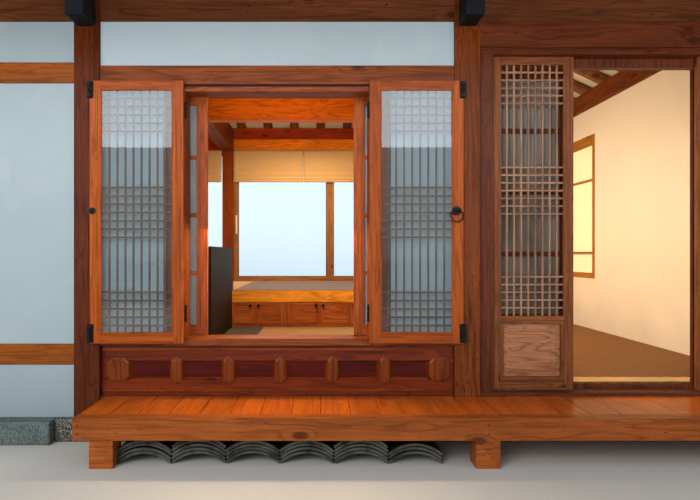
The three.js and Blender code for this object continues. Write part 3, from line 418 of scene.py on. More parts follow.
plug(give["Color"], mix(checks.step("MAXIMUM", checks * 0.85, knot * 0.8), colour, "1C0F08"))
plug(give["Roughness"], fibres * 0.22 + checks * 0.3)
plug(give["Height"], fibres * 0.5 - (checks + knot) + streak * 0.4)
print("group wood_figure has", len(place.tree.nodes), "nodes")

# %% [markdown]
# ## Worn edges, dust and splash
#
# Hands, brooms and rain wear a house unevenly. Edges lose their dark oil first, so one group finds
# edges by comparing the true normal with a rounded one. Another finds the band near the ground
# that rain splashes, and breaks it up with noise.

# %% The worn edge and splash groups
take, give = group("worn_edge", {"Reach": 0.006, "Place": None}, ["Mask"])
rounded = put(take["Place"].tree, "Bevel", "Normal", {"samples": 3}, Radius=take["Reach"])
edge = between(dot(rounded, surface(rounded.tree, "Normal")), 0.80, 0.995, 1.0, 0.0)
plug(give["Mask"], edge * between(noise(take["Place"], 14.0, 3.0, 0.65), 0.35, 0.62))

take, give = group("splash", {"Place": None, "Low": 0.0, "High": 0.6}, ["Mask"])
level = part(take["Place"], "Z") + (noise(take["Place"], 3.0, 4.0, 0.6) - 0.5) * 0.5
plug(give["Mask"], between(level, take["Low"], take["High"], 1.0, 0.0))
print("groups worn_edge and splash ready")

# %% [markdown]
# ## Oiled timber
#
# All the timber is one recipe with other values: the light and dark of the wood, how glossy the
# oil is, and whether the place along the fibres comes from the member itself or, for a solid of
# the frame, from the room's own axes.

# %% Timber finishes
AXIS_TURN = {"x": (0, 0, 0), "y": (0, 0, math.radians(-90)), "z": (0, math.radians(90), 0)}


def along_axis(place, axis):
    """The place turned so that the fibres run along one axis of the room."""
    return put(place.tree, "Mapping", 0, Vector=place, Rotation=AXIS_TURN[axis])


def timber(name, light, dark, bands=9.0, gloss=0.42, checks=0.6, variety=0.3, axis=None, coat=0.0,
           knots=0.8, upright=None):
    """Oiled wood. axis names the fibres' direction on a solid of the frame, and upright gives the
    two heights in metres between which its members stand."""
    wood = Finish(name, Specular_IOR_Level=0.1, Coat_Weight=coat, Coat_Roughness=0.18)
    if axis is None:
        place = put(wood.tree, "Attribute", "Vector", {"attribute_name": "fibre"})
    else:
        room = room_place(wood.tree)
        place = along_axis(room, axis)
        if upright:
            height = part(room, "Z")
            standing = height.step("GREATER_THAN", height, upright[0])
            standing *= height.step("LESS_THAN", height, upright[1])
            place = mix(standing, place, along_axis(room, "z"))
    figure = use(wood.tree, "wood_figure", Place=place, Light=light, Dark=dark, Bands=bands,
                 Checks=checks, Variety=variety, Knots=knots)
    edge = use(wood.tree, "worn_edge", Place=place)["Mask"]
    return wood.done(mix(edge * 0.2, figure["Color"], light), figure["Height"], 1.2,
                     Roughness=figure["Roughness"] + (gloss - 0.1))


post_wood = timber("post_timber", "662C0E", "2B0E03", 8.0, 0.5, 1.3, axis="z", knots=1.2)
post_c_wood = timber("post_timber_redder", "834015", "451A06", 8.0, 0.5, 1.3, axis="z", knots=1.2)
beam_x = timber("beam_timber", "714025", "381B0E", 9.0, 0.5, 0.9, axis="x")
beam_y = timber("cross_timber", "82411C", "431E0C", 9.0, 0.5, 0.8, axis="y")
rail_wood = timber("rail_timber", "944F14", "5A2907", 9.0, 0.45, 0.7)
frame_x = timber("window_timber_level", "8D481D", "4A200B", 9.0, 0.42, 0.6, axis="x")
leaf_wood = timber("casement_timber", "AE5417", "622507", 9.0, 0.4, 0.3, knots=0.4)
dado_wood = timber("dado_timber", "863E0F", "481604", 8.0, 0.4, 0.6, coat=0.08)
dado_x = timber("dado_timber_level", "7F300C", "3F1104", 8.0, 0.4, 0.7, axis="x", coat=0.08)
dado_slope_wood = timber("dado_slope_timber", "8A3C12", "4B1705", 8.0, 0.35, 0.4, coat=0.1)
door_wood = timber("door_timber", "8A512C", "502812", 9.0, 0.45, 0.6)
door_x = timber("door_timber_level", "6F3720", "38170D", 9.0, 0.45, 1.0, axis="x",
                upright=(0.3, 2.445))
slide_wood = timber("sliding_timber", "612E1A", "2F1308", 9.0, 0.42, 0.3)
porch_wood = timber("porch_timber", "C76319", "933D0E", 5.0, 0.34, 0.2, 0.15, coat=0.12, knots=0.3)
porch_x = timber("porch_timber_level", "AC5D2A", "6E3512", 8.0, 0.36, 0.8, axis="x")
roof_wood = timber("rafter_timber", "8E5026", "562D14", 8.0, 0.55, 0.9, axis="y")
gable_wood = timber("gable_timber", "844325", "492311", 8.0, 0.55, 0.9)
print("timber finishes ready")

# %% [markdown]
# ## Lime plaster
#
# The walls are white lime, painted outside in a darker blue-grey that stands for the eaves' shade
# and the sky's blue, and warm cream inside.
# One finish serves both: a face that looks away from the middle of the house is an outside face.
# Trowel sweeps make broad, shallow waves, and sand makes the fine grain.

# %% Plaster
def plaster(name, outside, inside, stain):
    """Trowelled plaster with one colour on the outer side and one on the room side."""
    wall = Finish(name, Roughness=0.88, Specular_IOR_Level=0.25)
    place = room_place(wall.tree)
    outward = dot(stretched(place, (1.0, 1.0, 0.0)), surface(wall.tree, "Normal"))
    sweep = noise(place, 2.4, 4.0, 0.55, 1.2)
    # Outward faces take the outside colour, which carries painted shade.
    base = mix(between(outward, -0.4, 0.2, 1.0, 0.0), outside, inside)
    base = mix(between(noise(place, 0.9, 3.0, 0.6), 0.4, 0.75, 0.0, 0.14), base, stain)
    base = mix(between(sweep, 0.5, 0.8, 0.0, 0.1), base, "E8E6DE")
    splashed = use(wall.tree, "splash", Place=place, Low=0.1, High=0.75)["Mask"]
    sand = noise(place, 260.0, 2.0, 0.6)
    return wall.done(mix(splashed * 0.3, base, stain), sweep * 2.0 + sand * 0.25, 2.0, 0.5)


# The outside colour is painted shade: white lime in the blue-grey of the eaves' shade.
wall_plaster = plaster("lime_plaster", "AEC0CA", "F2D8B4", "8C9698")
# A darker copy of the same plaster: painted shade for the left front wall.
plaster_painted_darker = plaster("lime_plaster_painted_shade", "9CADB6", "F2D8B4", "7E888A")
rafter_plaster = plaster("rafter_plaster", "D8D2C2", "E8D4AC", "A89A80")
mortar = plaster("ridge_mortar", "A8A69C", "A8A69C", "77756A")
print("plaster ready")

# %% [markdown]
# ## Granite and concrete
#
# The plinth's edge stones are split granite: pale feldspar, dark mica and a rough face. Its left
# end was renewed in smooth concrete, which is finer and cooler in colour.

# %% Stone
def stone(name, pale, dark, speck, fine=240.0, rough=0.85, relief=3.0):
    """Split stone with grains of two colours and weather stains."""
    rock = Finish(name, Roughness=rough, Specular_IOR_Level=0.3)
    place = room_place(rock.tree)
    tint = part(cells(place, fine, "Color"), "X")
    base = mix(between(noise(place, 5.0, 5.0, 0.65), 0.3, 0.7), dark, pale)
    base = mix(between(tint, 0.72, 0.8, 0.0, 0.7), base, speck)
    base = mix(between(tint, 0.28, 0.2, 0.0, 0.45), base, "E4E0D6")
    splashed = use(rock.tree, "splash", Place=place, Low=-0.05, High=0.16)["Mask"]
    base = mix(splashed * 0.45, base, "4A463A")
    base = mix(surface(rock.tree, "Random Per Island") * 0.22, base, dark)
    hollows = noise(place, 26.0, 5.0, 0.7)
    return rock.done(base, hollows + tint * 0.12, relief, 0.7)


granite = stone("split_granite", "4D4E46", "31332C", "131314")
concrete = stone("smooth_concrete", "4B6367", "3A4F54", "314146", 420.0, 0.7, 0.6)
print("stone ready")

# %% [markdown]
# ## Fired clay tiles
#
# Hanok tiles are fired in smoke, so they are grey all through, with a silvery bloom. Every tile
# comes out of the kiln a little different, so each loose tile takes a tone of its own. Old tiles
# gather pale lichen and dust in patches. Faces that look to the front get a painted highlight.

# %% Clay
def clay(name, body, bloom, dust, ends=0.15):
    """Smoke-fired clay. ends is the strength of the painted highlight on faces that look to the
    front.
    """
    tile = Finish(name, Specular_IOR_Level=0.15)
    place = room_place(tile.tree)
    mottle = noise(place, 9.0, 5.0, 0.65)
    base = mix(between(mottle, 0.35, 0.7, 0.0, 0.7), body, bloom)
    base = mix(surface(tile.tree, "Random Per Island") * 0.4, base, bloom)
    base = mix(between(noise(place, 2.2, 5.0, 0.7), 0.55, 0.72, 0.0, 0.5), base, dust)
    # Faces that look to the front are painted paler, broken by the mottle: a painted highlight.
    front = part(surface(tile.tree, "Normal"), "Y")
    front_painted_highlight = between(front, -0.6, -0.9) * between(mottle, 0.3, 0.6)
    base = mix(front_painted_highlight * ends, base, "7E7E74")
    edge = use(tile.tree, "worn_edge", Place=place, Reach=0.004)["Mask"]
    pores = noise(place, 190.0, 2.0, 0.6)
    return tile.done(mix(edge * 0.35, base, "74766E"), pores + mottle * 1.5, 1.0, 0.5,
                     Roughness=mottle * 0.3 + 0.5)


roof_clay = clay("smoke_fired_clay", "34393C", "5A6266", "6E6E60")
# The spare tiles are a much darker copy of the roof clay, painted shade under the porch, with a
# stronger painted highlight on their front faces.
stack_clay_painted_shade = clay("spare_tile_clay_painted_shade", "0E1010", "1D1F1F", "2C2C28", 0.4)
print("clay ready")

# %% [markdown]
# ## Paper, glass, iron, paint and cloth
#
# Mulberry paper shows its long fibres when light comes through. Window glass is thin, clear and a
# little uneven; it lets shadow rays through so that rooms behind it stay lit. Iron fittings are
# forged and black, and the lamps have a matt paint.

# %% Paper and glass
def paper(name, light, glow):
    """Handmade paper; glow is painted light, an emission that stands for daylight coming through
    it.
    """
    leaf = Finish(name, Roughness=0.9, Specular_IOR_Level=0.2, Emission_Strength=glow)
    place = room_place(leaf.tree)
    pulp = noise(place, 7.0, 4.0, 0.6)
    strands = noise(stretched(place, (60.0, 60.0, 11.0)), 1.0, 2.0, 0.7, 2.5)
    hair = between(abs(strands - 0.5), 0.0, 0.02, 0.35, 0.0)
    base = mix(hair, mix(between(pulp, 0.3, 0.75, 0.0, 0.3), light, "D8C49C"), "C8B48C")
    return leaf.done(base, pulp + hair, 0.5, 0.4, Emission_Color=base)


def glass(name, tint, rough, glow=0.0):
    """A thin pane. Shadow rays pass, so that the room behind stays lit. glow is painted light: a
    pale-blue emission haze that stands for bright daylight.
    """
    pane = Finish(name, Roughness=rough, IOR=1.5, Transmission_Weight=1.0, Emission_Strength=glow,
                  Emission_Color="C4DCEC")
    place = room_place(pane.tree)
    smear = between(noise(place, 6.0, 4.0, 0.6), 0.4, 0.8, 0.0, 0.05)
    shadow = put(pane.tree, "LightPath", "Is Shadow Ray")
    return pane.done(mix(smear, tint, "D8E2E6"), noise(place, 3.0, 1.0), 1.0, 0.15,
                     Alpha=1.0 - shadow * 0.92)


def frosted(name, light, dark):
    """Opaque glass in dark colours, painted shade of the dim room behind it, with a soft uneven
    haze.
    """
    pane = Finish(name, Roughness=0.32, Specular_IOR_Level=0.25)
    place = room_place(pane.tree)
    haze = noise(stretched(place, (1.0, 1.0, 0.4)), 3.0, 3.0, 0.55)
    return pane.done(mix(between(haze, 0.3, 0.7), dark, light), noise(place, 420.0, 1.0), 0.3, 0.4)


# The paper leaves' paper is a dim blue-grey: painted shade on pale paper.
paper_painted_shade = paper("mulberry_paper", "8E9AA6", 0.0)
# The end window's paper glows: painted daylight.
end_paper = paper("paper_painted_glow", "F8DFA8", 0.35)
casement_glass = glass("casement_glass", "E4EAEC", 0.01)
# The rear panes glow faintly: painted daylight beyond the windows.
sky_glass = glass("rear_window_glass", "E2F0F8", 0.3, 0.3)
# The sliding leaves' panes are opaque and dark: painted shade of the room behind them.
glass_painted_dark = frosted("glass_painted_dark", "7C7268", "463F38")
print("paper and glass ready")

# %% Iron, paint, cloth and mats
def metal(name, colour, worn, metallic, rough):
    """Forged or painted metal with rubbed edges."""
    skin = Finish(name, Metallic=metallic, Specular_IOR_Level=0.3)
    place = room_place(skin.tree)
    dents = noise(place, 60.0, 4.0, 0.6)
    edge = use(skin.tree, "worn_edge", Place=place, Reach=0.002)["Mask"]
    base = mix(edge * 0.7, mix(between(dents, 0.3, 0.7, 0.0, 0.3), colour, worn), worn)
    return skin.done(base, dents, 0.6, 0.5, Roughness=dents * 0.25 + (rough - 0.12))


iron = metal("forged_iron", "14110F", "3A3430", 0.7, 0.5)
lamp_paint = metal("lamp_paint", "171C24", "333A47", 0.2, 0.55)
counter_paint = metal("counter_paint", "151108", "292112", 0.0, 0.62)
pale_paint = metal("pale_enamel", "E8E4DA", "BDB6A6", 0.1, 0.4)
lamp_inside = metal("lamp_inside", "0C0D0F", "1E2022", 0.2, 0.6)

take, give = group("plain_weave", {"Place": None, "Threads": 700.0, "Across": "D9A55E",
                                   "Along": "C08A48"}, ("Color", "Height"))
thread = scaled(take["Place"], take["Threads"])
weft = thread.step("SINE", part(thread, "Z"))
warp = thread.step("SINE", part(thread, "X") + part(thread, "Y"))
slub = noise(stretched(take["Place"], (12.0, 12.0, 160.0)), 1.0, 3.0, 0.6)
cloth = mix(between(weft * warp, -0.4, 0.4), take["Across"], take["Along"])
plug(give["Color"], mix(between(slub, 0.45, 0.75, 0.0, 0.35), cloth, take["Along"]))
plug(give["Height"], weft * 0.25 + warp * 0.25 + slub)


def woven(name, across, along, threads, glow=0.0, sheen=0.25):
    """A plain weave of two thread colours; glow is painted light, an emission in the weave's
    colour.
    """
    cloth = Finish(name, Roughness=0.92, Sheen_Weight=sheen, Sheen_Roughness=0.5,
                   Specular_IOR_Level=0.15, Emission_Strength=glow)
    weave = use(cloth.tree, "plain_weave", Place=room_place(cloth.tree), Threads=threads,
                Across=across, Along=along)
    # With a glow the cloth emits its own colour: painted light.
    light = {"Emission_Color": weave["Color"]} if glow else {}
    return cloth.done(weave["Color"], weave["Height"], 0.5, 0.5, **light)


# The shade linen glows a little: painted daylight through the cloth.
shade_cloth = woven("shade_linen", "C4A172", "AD8655", 1400.0, 0.1)
mat_straw = woven("straw_mat", "A87E44", "84602E", 900.0)
mat_grey = woven("mauve_mat", "6E5C5A", "5A4A48", 900.0)
mat_dark = woven("olive_mat", "3E3222", "2C2418", 900.0)
print("iron, paint and cloth ready")

# %% [markdown]
# ## Plinth of edge stones
#
# The house stands on a low plinth. Its rim is laid from split stones of uneven length, so the
# solid is replaced by a ring of separate blocks, each with its own slightly hollow face, round a
# plain middle. The left front corner juts out and is smooth concrete.

# %% Edge stones
PLINTH_X, PLINTH_Y, PLINTH_TOP = 3610, 2510, 142
STEP_END, STEP_Y = -1290, 2570
STONE_DEEP, HOLLOW, RIM_BACK = 260, 7.0, 3
SHORTEST_STONE, LONGEST_STONE = 420, 760


def split_block(work, span, across, facing):
    """A block whose outer face is a small grid of hollows. facing is 'x-', 'x+', 'y-' or 'y+'."""
    outward = 1 if facing[1] == "+" else -1
    back, face = across[::outward]
    count = max(3, round((span[1] - span[0]) / 90))
    places = steps(*span, count)

    def spot(along, deep, z):
        return (deep, along, z) if facing[0] == "x" else (along, deep, z)

    rows = []
    for r, z in enumerate(steps(0, PLINTH_TOP, 3)):
        row = []
        for c, along in enumerate(places):
            rim = r in (0, 3) or c in (0, count)
            depth = draw.uniform(0.5, 2.5) + RIM_BACK if rim else draw.uniform(0, HOLLOW)
            row.append(spot(along, face - outward * depth, z))
        rows.append(row)
    low, high = [[spot(along, back, z) for along in places] for z in (0, PLINTH_TOP)]
    rows = [low, *rows, high]
    if (facing[0] == "x") == (outward > 0):
        rows = [row[::-1] for row in rows]
    work.strip(list(zip(*rows))[::-1], along=1 if facing[0] == "x" else 0, closed=True)


def stone_course(work, start, end, facing):
    """Blocks side by side from start to end along one side of the plinth."""
    outer = PLINTH_X if facing[0] == "x" else PLINTH_Y
    across = (outer - STONE_DEEP, outer) if facing[1] == "+" else (-outer, STONE_DEEP - outer)
    at = start
    while at < end - 1:
        size = draw.uniform(SHORTEST_STONE, LONGEST_STONE)
        stop = end if end - at < LONGEST_STONE * 1.2 else at + size
        split_block(work, (at + 2, stop - 2), across, facing)
        at = stop


stones = Work()
stone_course(stones, STEP_END, PLINTH_X, "y-")
stone_course(stones, -PLINTH_X, PLINTH_X, "y+")
for facing in ("x-", "x+"):
    stone_course(stones, -PLINTH_Y + STONE_DEEP, PLINTH_Y - STONE_DEEP, facing)
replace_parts(piece("edge_stones", stones, granite, ease=4), "plinth")

reach_x, reach_y = PLINTH_X - STONE_DEEP - 3, PLINTH_Y - STONE_DEEP - 3
bars("plinth_middle", [((-reach_x, -reach_y, 0), (reach_x, reach_y, PLINTH_TOP - 2))],
     granite, 3)
step_back = -PLINTH_Y + STONE_DEEP - 4
bars("concrete_corner", [((-PLINTH_X, -STEP_Y, 0), (STEP_END - 3, step_back, PLINTH_TOP))],
     concrete, 6)

# %% [markdown]
# ## Walls, posts and beams
#
# The frame's own solids are right in shape for walls, posts and beams, so they stay and get their
# finish. The posts differ a little in colour, because they were oiled at different times. The beam
# over the dais and the lower beam of the rear line get boards with level fibres, in bright orange
# timber that paints the warm lamplight on them.

# %% Dress the walls and the main timbers
dress(["window_bay_wall", "rear_wall_left", "rear_wall_middle", "rear_wall_right",
       "left_end_wall", "right_end_wall"], wall_plaster)
# The left front wall takes the darker plaster copy, which is painted shade.
dress(["left_front_wall"], plaster_painted_darker)
dress(["front_post_b", "right_front_post"], post_wood, 5)
dress(["front_post_c"], post_c_wood, 5)
dress(["front_plate"], beam_x, 4)
dress(["rear_plate"], timber("rear_plate_timber", "AC3E15", "611C09", 9.0, 0.5, 0.8, axis="x"), 4)
dress(["left_end_plate", "right_end_plate", "roof_frame"], beam_y, 6)
# The dais's timber is near full orange: partly its own colour, partly painted warm lamplight.
dress(["dais"], timber("dais_timber_painted_light", "FFB038", "B46018", 9.0, 0.4, 0.5, axis="x"), 4)

# A brighter copy of the beam timber: painted warm lamplight on the dais beam.
bars("dais_beam_skin", [((-914.6, 352.4, 2715.4), (1199.6, 483.6, 2970.6))],
     timber("dais_beam_timber_painted_light", "9E4A06", "591C01", 10.0, 0.4, 0.6), 6)
# A much brighter board on the rear beam: painted warm lamplight.
bars("rear_beam_board", [((-927, 2326, 2743.5), (1219.5, 2329.6, 2909))],
     timber("rear_board_timber_painted_light", "F1881F", "A64C0C", 10.0, 0.4, 0.6), 1)

# %% [markdown]
# ## Rails let into the plaster
#
# Wide rails run between the posts and show a hand's breadth of wood across the plaster. In the
# left bay they are tenoned into the corner post, and in the end walls into a middle post.

# %% Left bay and end frames
POSTS = (-3500, -1100, 1300, 3500)
REAR_POSTS = (-3500, -1008, 1300, 3500)
LINE, HALF = 2400, 80
RAILS = ((475, 607), (2256, 2387))
WINDOW_LINTEL = (2520, 2646)
FRAME_LOW, FRAME_TOP = 142.3, 2799.7
CORNER = POSTS[0]

spans = [((CORNER - HALF, -LINE - HALF, FRAME_LOW), (CORNER + HALF, -LINE + HALF, FRAME_TOP))]
spans += [((CORNER + HALF, -2470, low), (POSTS[1] - HALF - 0.3, -2410, high))
          for low, high in RAILS]
left_bay = bars("left_bay_timbers", spans, rail_wood, 5)
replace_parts(left_bay, "left_front_post_and_rails")


def end_frame(name, side, node, rear_rails):
    """The middle post and the rails of an end wall."""
    outer, face, inner = side * 3580, side * 3570, side * 3510
    xs, post_xs = sorted((face, inner)), sorted((outer, inner))
    spans = [((post_xs[0], -HALF, FRAME_LOW), (post_xs[1], HALF, 2819.7))]
    spans += [((xs[0], -2319.7, low), (xs[1], -HALF, high)) for low, high in RAILS]
    spans += [((xs[0], HALF, low), (xs[1], 2319.7, high)) for low, high in rear_rails]
    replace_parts(bars(name, spans, rail_wood, 5), node)


end_frame("left_end_timbers", -1, "left_end_frame", RAILS)
end_frame("right_end_timbers", 1, "right_end_frame", (RAILS[0], WINDOW_LINTEL))

# %% [markdown]
# ## Rear frame and its windows
#
# The rear line has a window in each bay: posts, a low rail, a sill rail, and in each opening a
# frame with a mullion and one large pane on each side of it. Beads hold the glass. The left
# window has no right jamb, as its glass is let into the post.

# %% Rear frame
REAR_WINDOWS = ((-2980, -1088, -2034, (-2980,)), (-928, 1110, 540, (-928, 1040)),
                (1560, 3080, 2320, (1560, 3010)))
SILL_LOW, SILL_TOP, REAR_HEAD = 760, 830, 2742.5
JAMB, MULLION, BEAD = 70, 50, 12
UNDER_HEAD = REAR_HEAD - JAMB
rear_post_wood = timber("rear_timber", "883E16", "4A1E09", 9.0, 0.45, 0.7)
rear_window_wood = timber("rear_window_timber", "A17043", "603E23", 9.0, 0.45, 0.3)

spans = [((x - HALF, 2320, FRAME_LOW), (x + HALF, 2480, 2909.7)) for x in REAR_POSTS]
for left, right in zip(REAR_POSTS, REAR_POSTS[1:]):
    spans += [((left + HALF, 2410, low), (right - HALF, 2470, high))
              for low, high in (RAILS[0], (SILL_LOW, SILL_TOP))]
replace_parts(bars("rear_timbers", spans, rear_post_wood, 3), "rear_frame")


def glazing(joinery, panes, left, right):
    """One pane between two uprights, with beads on both sides of it."""
    panes.bar((left + 2, 2397, SILL_TOP + 2), (right - 2, 2403, UNDER_HEAD - 2))
    for ys in ((2384, 2396.5), (2403.5, 2416)):
        surround(joinery, (left, right), ys, (SILL_TOP, UNDER_HEAD), BEAD)


joinery, panes = Work(), Work()
for x0, x1, middle, jambs in REAR_WINDOWS:
    uprights = [(x, JAMB) for x in jambs] + [(middle - MULLION, MULLION), (middle, MULLION)]
    for x, wide in uprights:
        joinery.bar((x, 2360, SILL_TOP), (x + wide, 2460, UNDER_HEAD))
    joinery.bar((x0, 2360, UNDER_HEAD), (x1, 2460, REAR_HEAD))
    joinery.bar((x0, 2355, SILL_LOW + 1), (x1, 2465, SILL_TOP))
    glazing(joinery, panes, x0 + JAMB, middle - MULLION)
    glazing(joinery, panes, middle + MULLION, x1 - JAMB if len(jambs) > 1 else x1)
piece("rear_window_joinery", joinery, rear_window_wood, ease=3)
piece("rear_panes", panes, sky_glass)

PULL_X, PULL_Z = -880, (1480, 1764)
feet = [((PULL_X - 8, 2354, z - 9), (PULL_X + 8, 2360, z + 9), 1) for z in (1500, 1744)]
grip = ((PULL_X - 12, 2349, PULL_Z[0]), (PULL_X + 12, 2354, PULL_Z[1]))
bars("window_pull", [grip, *feet], pale_paint, 2)

# %% [markdown]
# ## Tall paper window in the end wall
#
# The window at the room's right end has tall cells of paper between two level bars, with a
# fine lattice glued to the paper's outer side.

# %% End window
WINDOW_X, WINDOW_Y, WINDOW_Z = (3438, 3550), (150.3, 1499.7), (900.3, 2519.7)
STILE, TOP_RAIL = 60, 110
x0, x1 = WINDOW_X
y0, y1 = WINDOW_Y[0] + STILE, WINDOW_Y[1] - STILE
z0, z1 = WINDOW_Z[0] + STILE, WINDOW_Z[1] - TOP_RAIL
middle_y = (y0 + y1) / 2
work, sheet = Work(), Work()
work.bars(((x0, a, WINDOW_Z[0]), (x1, b, WINDOW_Z[1])) for a, b in rims(*WINDOW_Y, STILE))
work.bars(((x0, y0, a), (x1, y1, b)) for a, b in ((WINDOW_Z[0], z0), (z1, WINDOW_Z[1])))
work.bars(((3452, y0, z - 12), (3500, y1, z + 12)) for z in (1190, 2016))
work.bar((3462, middle_y - 9, z0), (3500, middle_y + 9, z1))
sheet.bar((3480, y0, z0), (3486, y1, z1))
work.bars(((3487, y - 5, z0), (3503, y + 5, z1)) for y in steps(y0, y1, 12)[1:-1])
work.bars(((3487.5, y0, z - 5), (3502, y1, z + 5))
          for z in (1030, 1110, *steps(1440, 1680, 4), 2150, 2220, 2290))
window_gold = timber("end_window_timber", "B16E1D", "794610", 9.0, 0.5, 0.3)
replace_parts(piece("end_window_joinery", work, window_gold, ease=2), "end_window")
piece("end_window_paper", sheet, end_paper)

# %% [markdown]
# ## Window bay
#
# Under a plaster head strip a lintel crosses the bay and holds the window's frame. Below the sill
# a panelled dado fills the space to the floor. Two lattice casements stand open flat against the
# wall, with glass over their lattice, and two paper leaves slide along the room side. Under the
# lintel the head steps back twice, with a strip between the steps painted dark as the groove's
# shadow.

# %% Lintel, frame and mouldings
dress(["window_frame"], frame_x, 4)
dress(["dado"], dado_x, 3)
OPENING, STEP_BACK = (-617, 817), -2475.2
HEAD_STEPS = ((2247, 2260.6, -2479), (2202, 2230, -2477.5))
mouldings, groove = Work(), Work()
for z0, z1, front in HEAD_STEPS:
    mouldings.bar((OPENING[0], front, z0), (OPENING[1], STEP_BACK, z1))
groove.bar((OPENING[0], -2475.9, 2230), (OPENING[1], -2475.1, 2247))
for x0, x1 in rims(-491, 691, 11.6):
    mouldings.bar((x0, -2477.5, 642), (x1, STEP_BACK, 2202))
window_wood = timber("window_mould_timber", "984B21", "52230E", 9.0, 0.42, 0.4)
piece("window_mouldings", mouldings, window_wood, ease=1.5)
# The strip in the groove is near black: painted shadow.
groove_shadow_paint = timber("shadow_groove", "3A1C12", "1C0C08", 9.0, 0.6, 0.2)
piece("window_groove", groove, groove_shadow_paint)

# %% [markdown]
# ## The panelled dado
#
# Short uprights with chamfered sides and pointed ends cross the dado, with a broad block at each
# end. Between them sloping strips lead from the rails down to the sunk panels.

# %% Dado uprights, blocks and slopes
DADO_SPAN, DADO_PANEL_Z = (-1015, 1215), (372, 499)
DADO_UPRIGHTS = [120 + 331 * k for k in (-2, -1, 0, 1, 2)]
DADO_FACE, PANEL_FACE, BLOCK_FACE = -2440, -2418, -2449
UPRIGHT_HALF, UPRIGHT_Z, POINT = 34, (366, 502), 24
BLOCK_Z, BLOCK_CORNER = (362, 516), 30


def pointed(x, inset):
    """Outline of an upright with pointed ends."""
    half, z0, z1 = UPRIGHT_HALF - inset, UPRIGHT_Z[0] + inset, UPRIGHT_Z[1] - inset
    return ((x - half, z0), (x, z0 - POINT), (x + half, z0),
            (x + half, z1), (x, z1 + POINT), (x - half, z1))


def cut_corners(x0, x1, inset):
    """Outline of a broad block with its corners cut off."""
    a, b, c, d = x0 + inset, x1 - inset, BLOCK_Z[0] + inset, BLOCK_Z[1] - inset
    cut = BLOCK_CORNER - inset * 0.4
    return ((a, c + cut), (a + cut, c), (b - cut, c), (b, c + cut),
            (b, d - cut), (b - cut, d), (a + cut, d), (a, d - cut))


def chamfered(work, outline, rim, chamfer):
    """A block on the dado with a chamfer all round its face."""
    levels = (0, DADO_FACE + 0.5), (0, BLOCK_FACE + rim), (chamfer, BLOCK_FACE)
    work.strip([[(x, y, z) for x, z in outline(inset)] for inset, y in levels], closed=True)


def mitred_slope(work, x0, x1, z0, z1, face, back, wide):
    """Four sloping strips with mitred corners, from the frame's face down to a panel."""
    outer = [(x0, face, z0), (x1, face, z0), (x1, face, z1), (x0, face, z1)]
    inner = [(x0 + wide, back, z0 + wide), (x1 - wide, back, z0 + wide),
             (x1 - wide, back, z1 - wide), (x0 + wide, back, z1 - wide)]
    for i, j in ((0, 1), (1, 2), (2, 3), (3, 0)):
        behind = [(outer[k][0], back, outer[k][2]) for k in (i, j)]
        points = [outer[i], outer[j], inner[j], inner[i], *behind]
        faces = [(0, 1, 2, 3), (0, 4, 5, 1), (1, 5, 2), (0, 3, 4), (4, 3, 2, 5)]
        work.add(points, faces, 0 if i % 2 == 0 else 2)


uprights, slopes, boards = Work(), Work(), Work()
for x in DADO_UPRIGHTS:
    chamfered(uprights, lambda inset: pointed(x, inset), 6, 13)
for x0, x1 in ((-984, -845), (1064, 1203)):
    chamfered(uprights, lambda inset: cut_corners(x0, x1, inset), 5, 10)
lefts = [-846] + [x + UPRIGHT_HALF for x in DADO_UPRIGHTS]
rights = [x - UPRIGHT_HALF for x in DADO_UPRIGHTS] + [1066]
for left, right in zip(lefts, rights):
    mitred_slope(slopes, left, right, *DADO_PANEL_Z, DADO_FACE - 4, PANEL_FACE - 0.4, 15)
    boards.bar((left + 12, PANEL_FACE - 1.6, DADO_PANEL_Z[0] + 12),
               (right - 12, PANEL_FACE + 0.5, DADO_PANEL_Z[1] - 12), along=0)
for x0, x1 in rims(*DADO_SPAN, 397):
    slopes.bar((x0, -2469, 597.5), (x1, -2460.1, 622))
for z0, z1 in ((560, 580), (300, 318)):
    slopes.bar((DADO_SPAN[0], DADO_FACE - 6, z0), (DADO_SPAN[1], DADO_FACE + 0.5, z1))
piece("dado_uprights", uprights, dado_wood, ease=1.5)
piece("dado_slopes", slopes, dado_slope_wood, ease=1.5)
# The sunk panels' boards are darker than the frame: partly a redder wood, partly painted shade of
# the recess.
dado_board_painted_shade = timber("dado_board_timber_painted_shade", "5A1305", "2B0502", 8.0, 0.45, 0.8, knots=1.2)
piece("dado_boards", boards, dado_board_painted_shade)

# %% [markdown]
# ## A leaf of lattice
#
# Every leaf of the house is the same joinery: two stiles, a top and a bottom rail, thin upright
# bars, and level bars gathered in a top, a middle and a bottom band. One function makes them all
# from lists of places, so the count of cells is the only thing that changes.

# %% The lattice leaf
LINE_INSET = 0.24


def leaf_frame(work, xs, ys, zs, stile, top, bottom):
    """Stiles over the full height, rails between them, and a raised line down each."""
    (x0, x1), (y0, y1), (z0, z1) = xs, ys, zs
    inset = stile * LINE_INSET
    for a, b in rims(x0, x1, stile):
        work.bar((a, y0 + 2, z0), (b, y1 - 2, z1))
        work.bar((a + inset, y0, z0 + 4), (b - inset, y1, z1 - 4))
    for a, b in ((z0, z0 + bottom), (z1 - top, z1)):
        inset = (b - a) * LINE_INSET
        work.bar((x0 + stile, y0 + 2, a), (x1 - stile, y1 - 2, b))
        work.bar((x0 + stile - 8, y0 + 0.6, a + inset), (x1 - stile + 8, y1 - 0.6, b - inset))


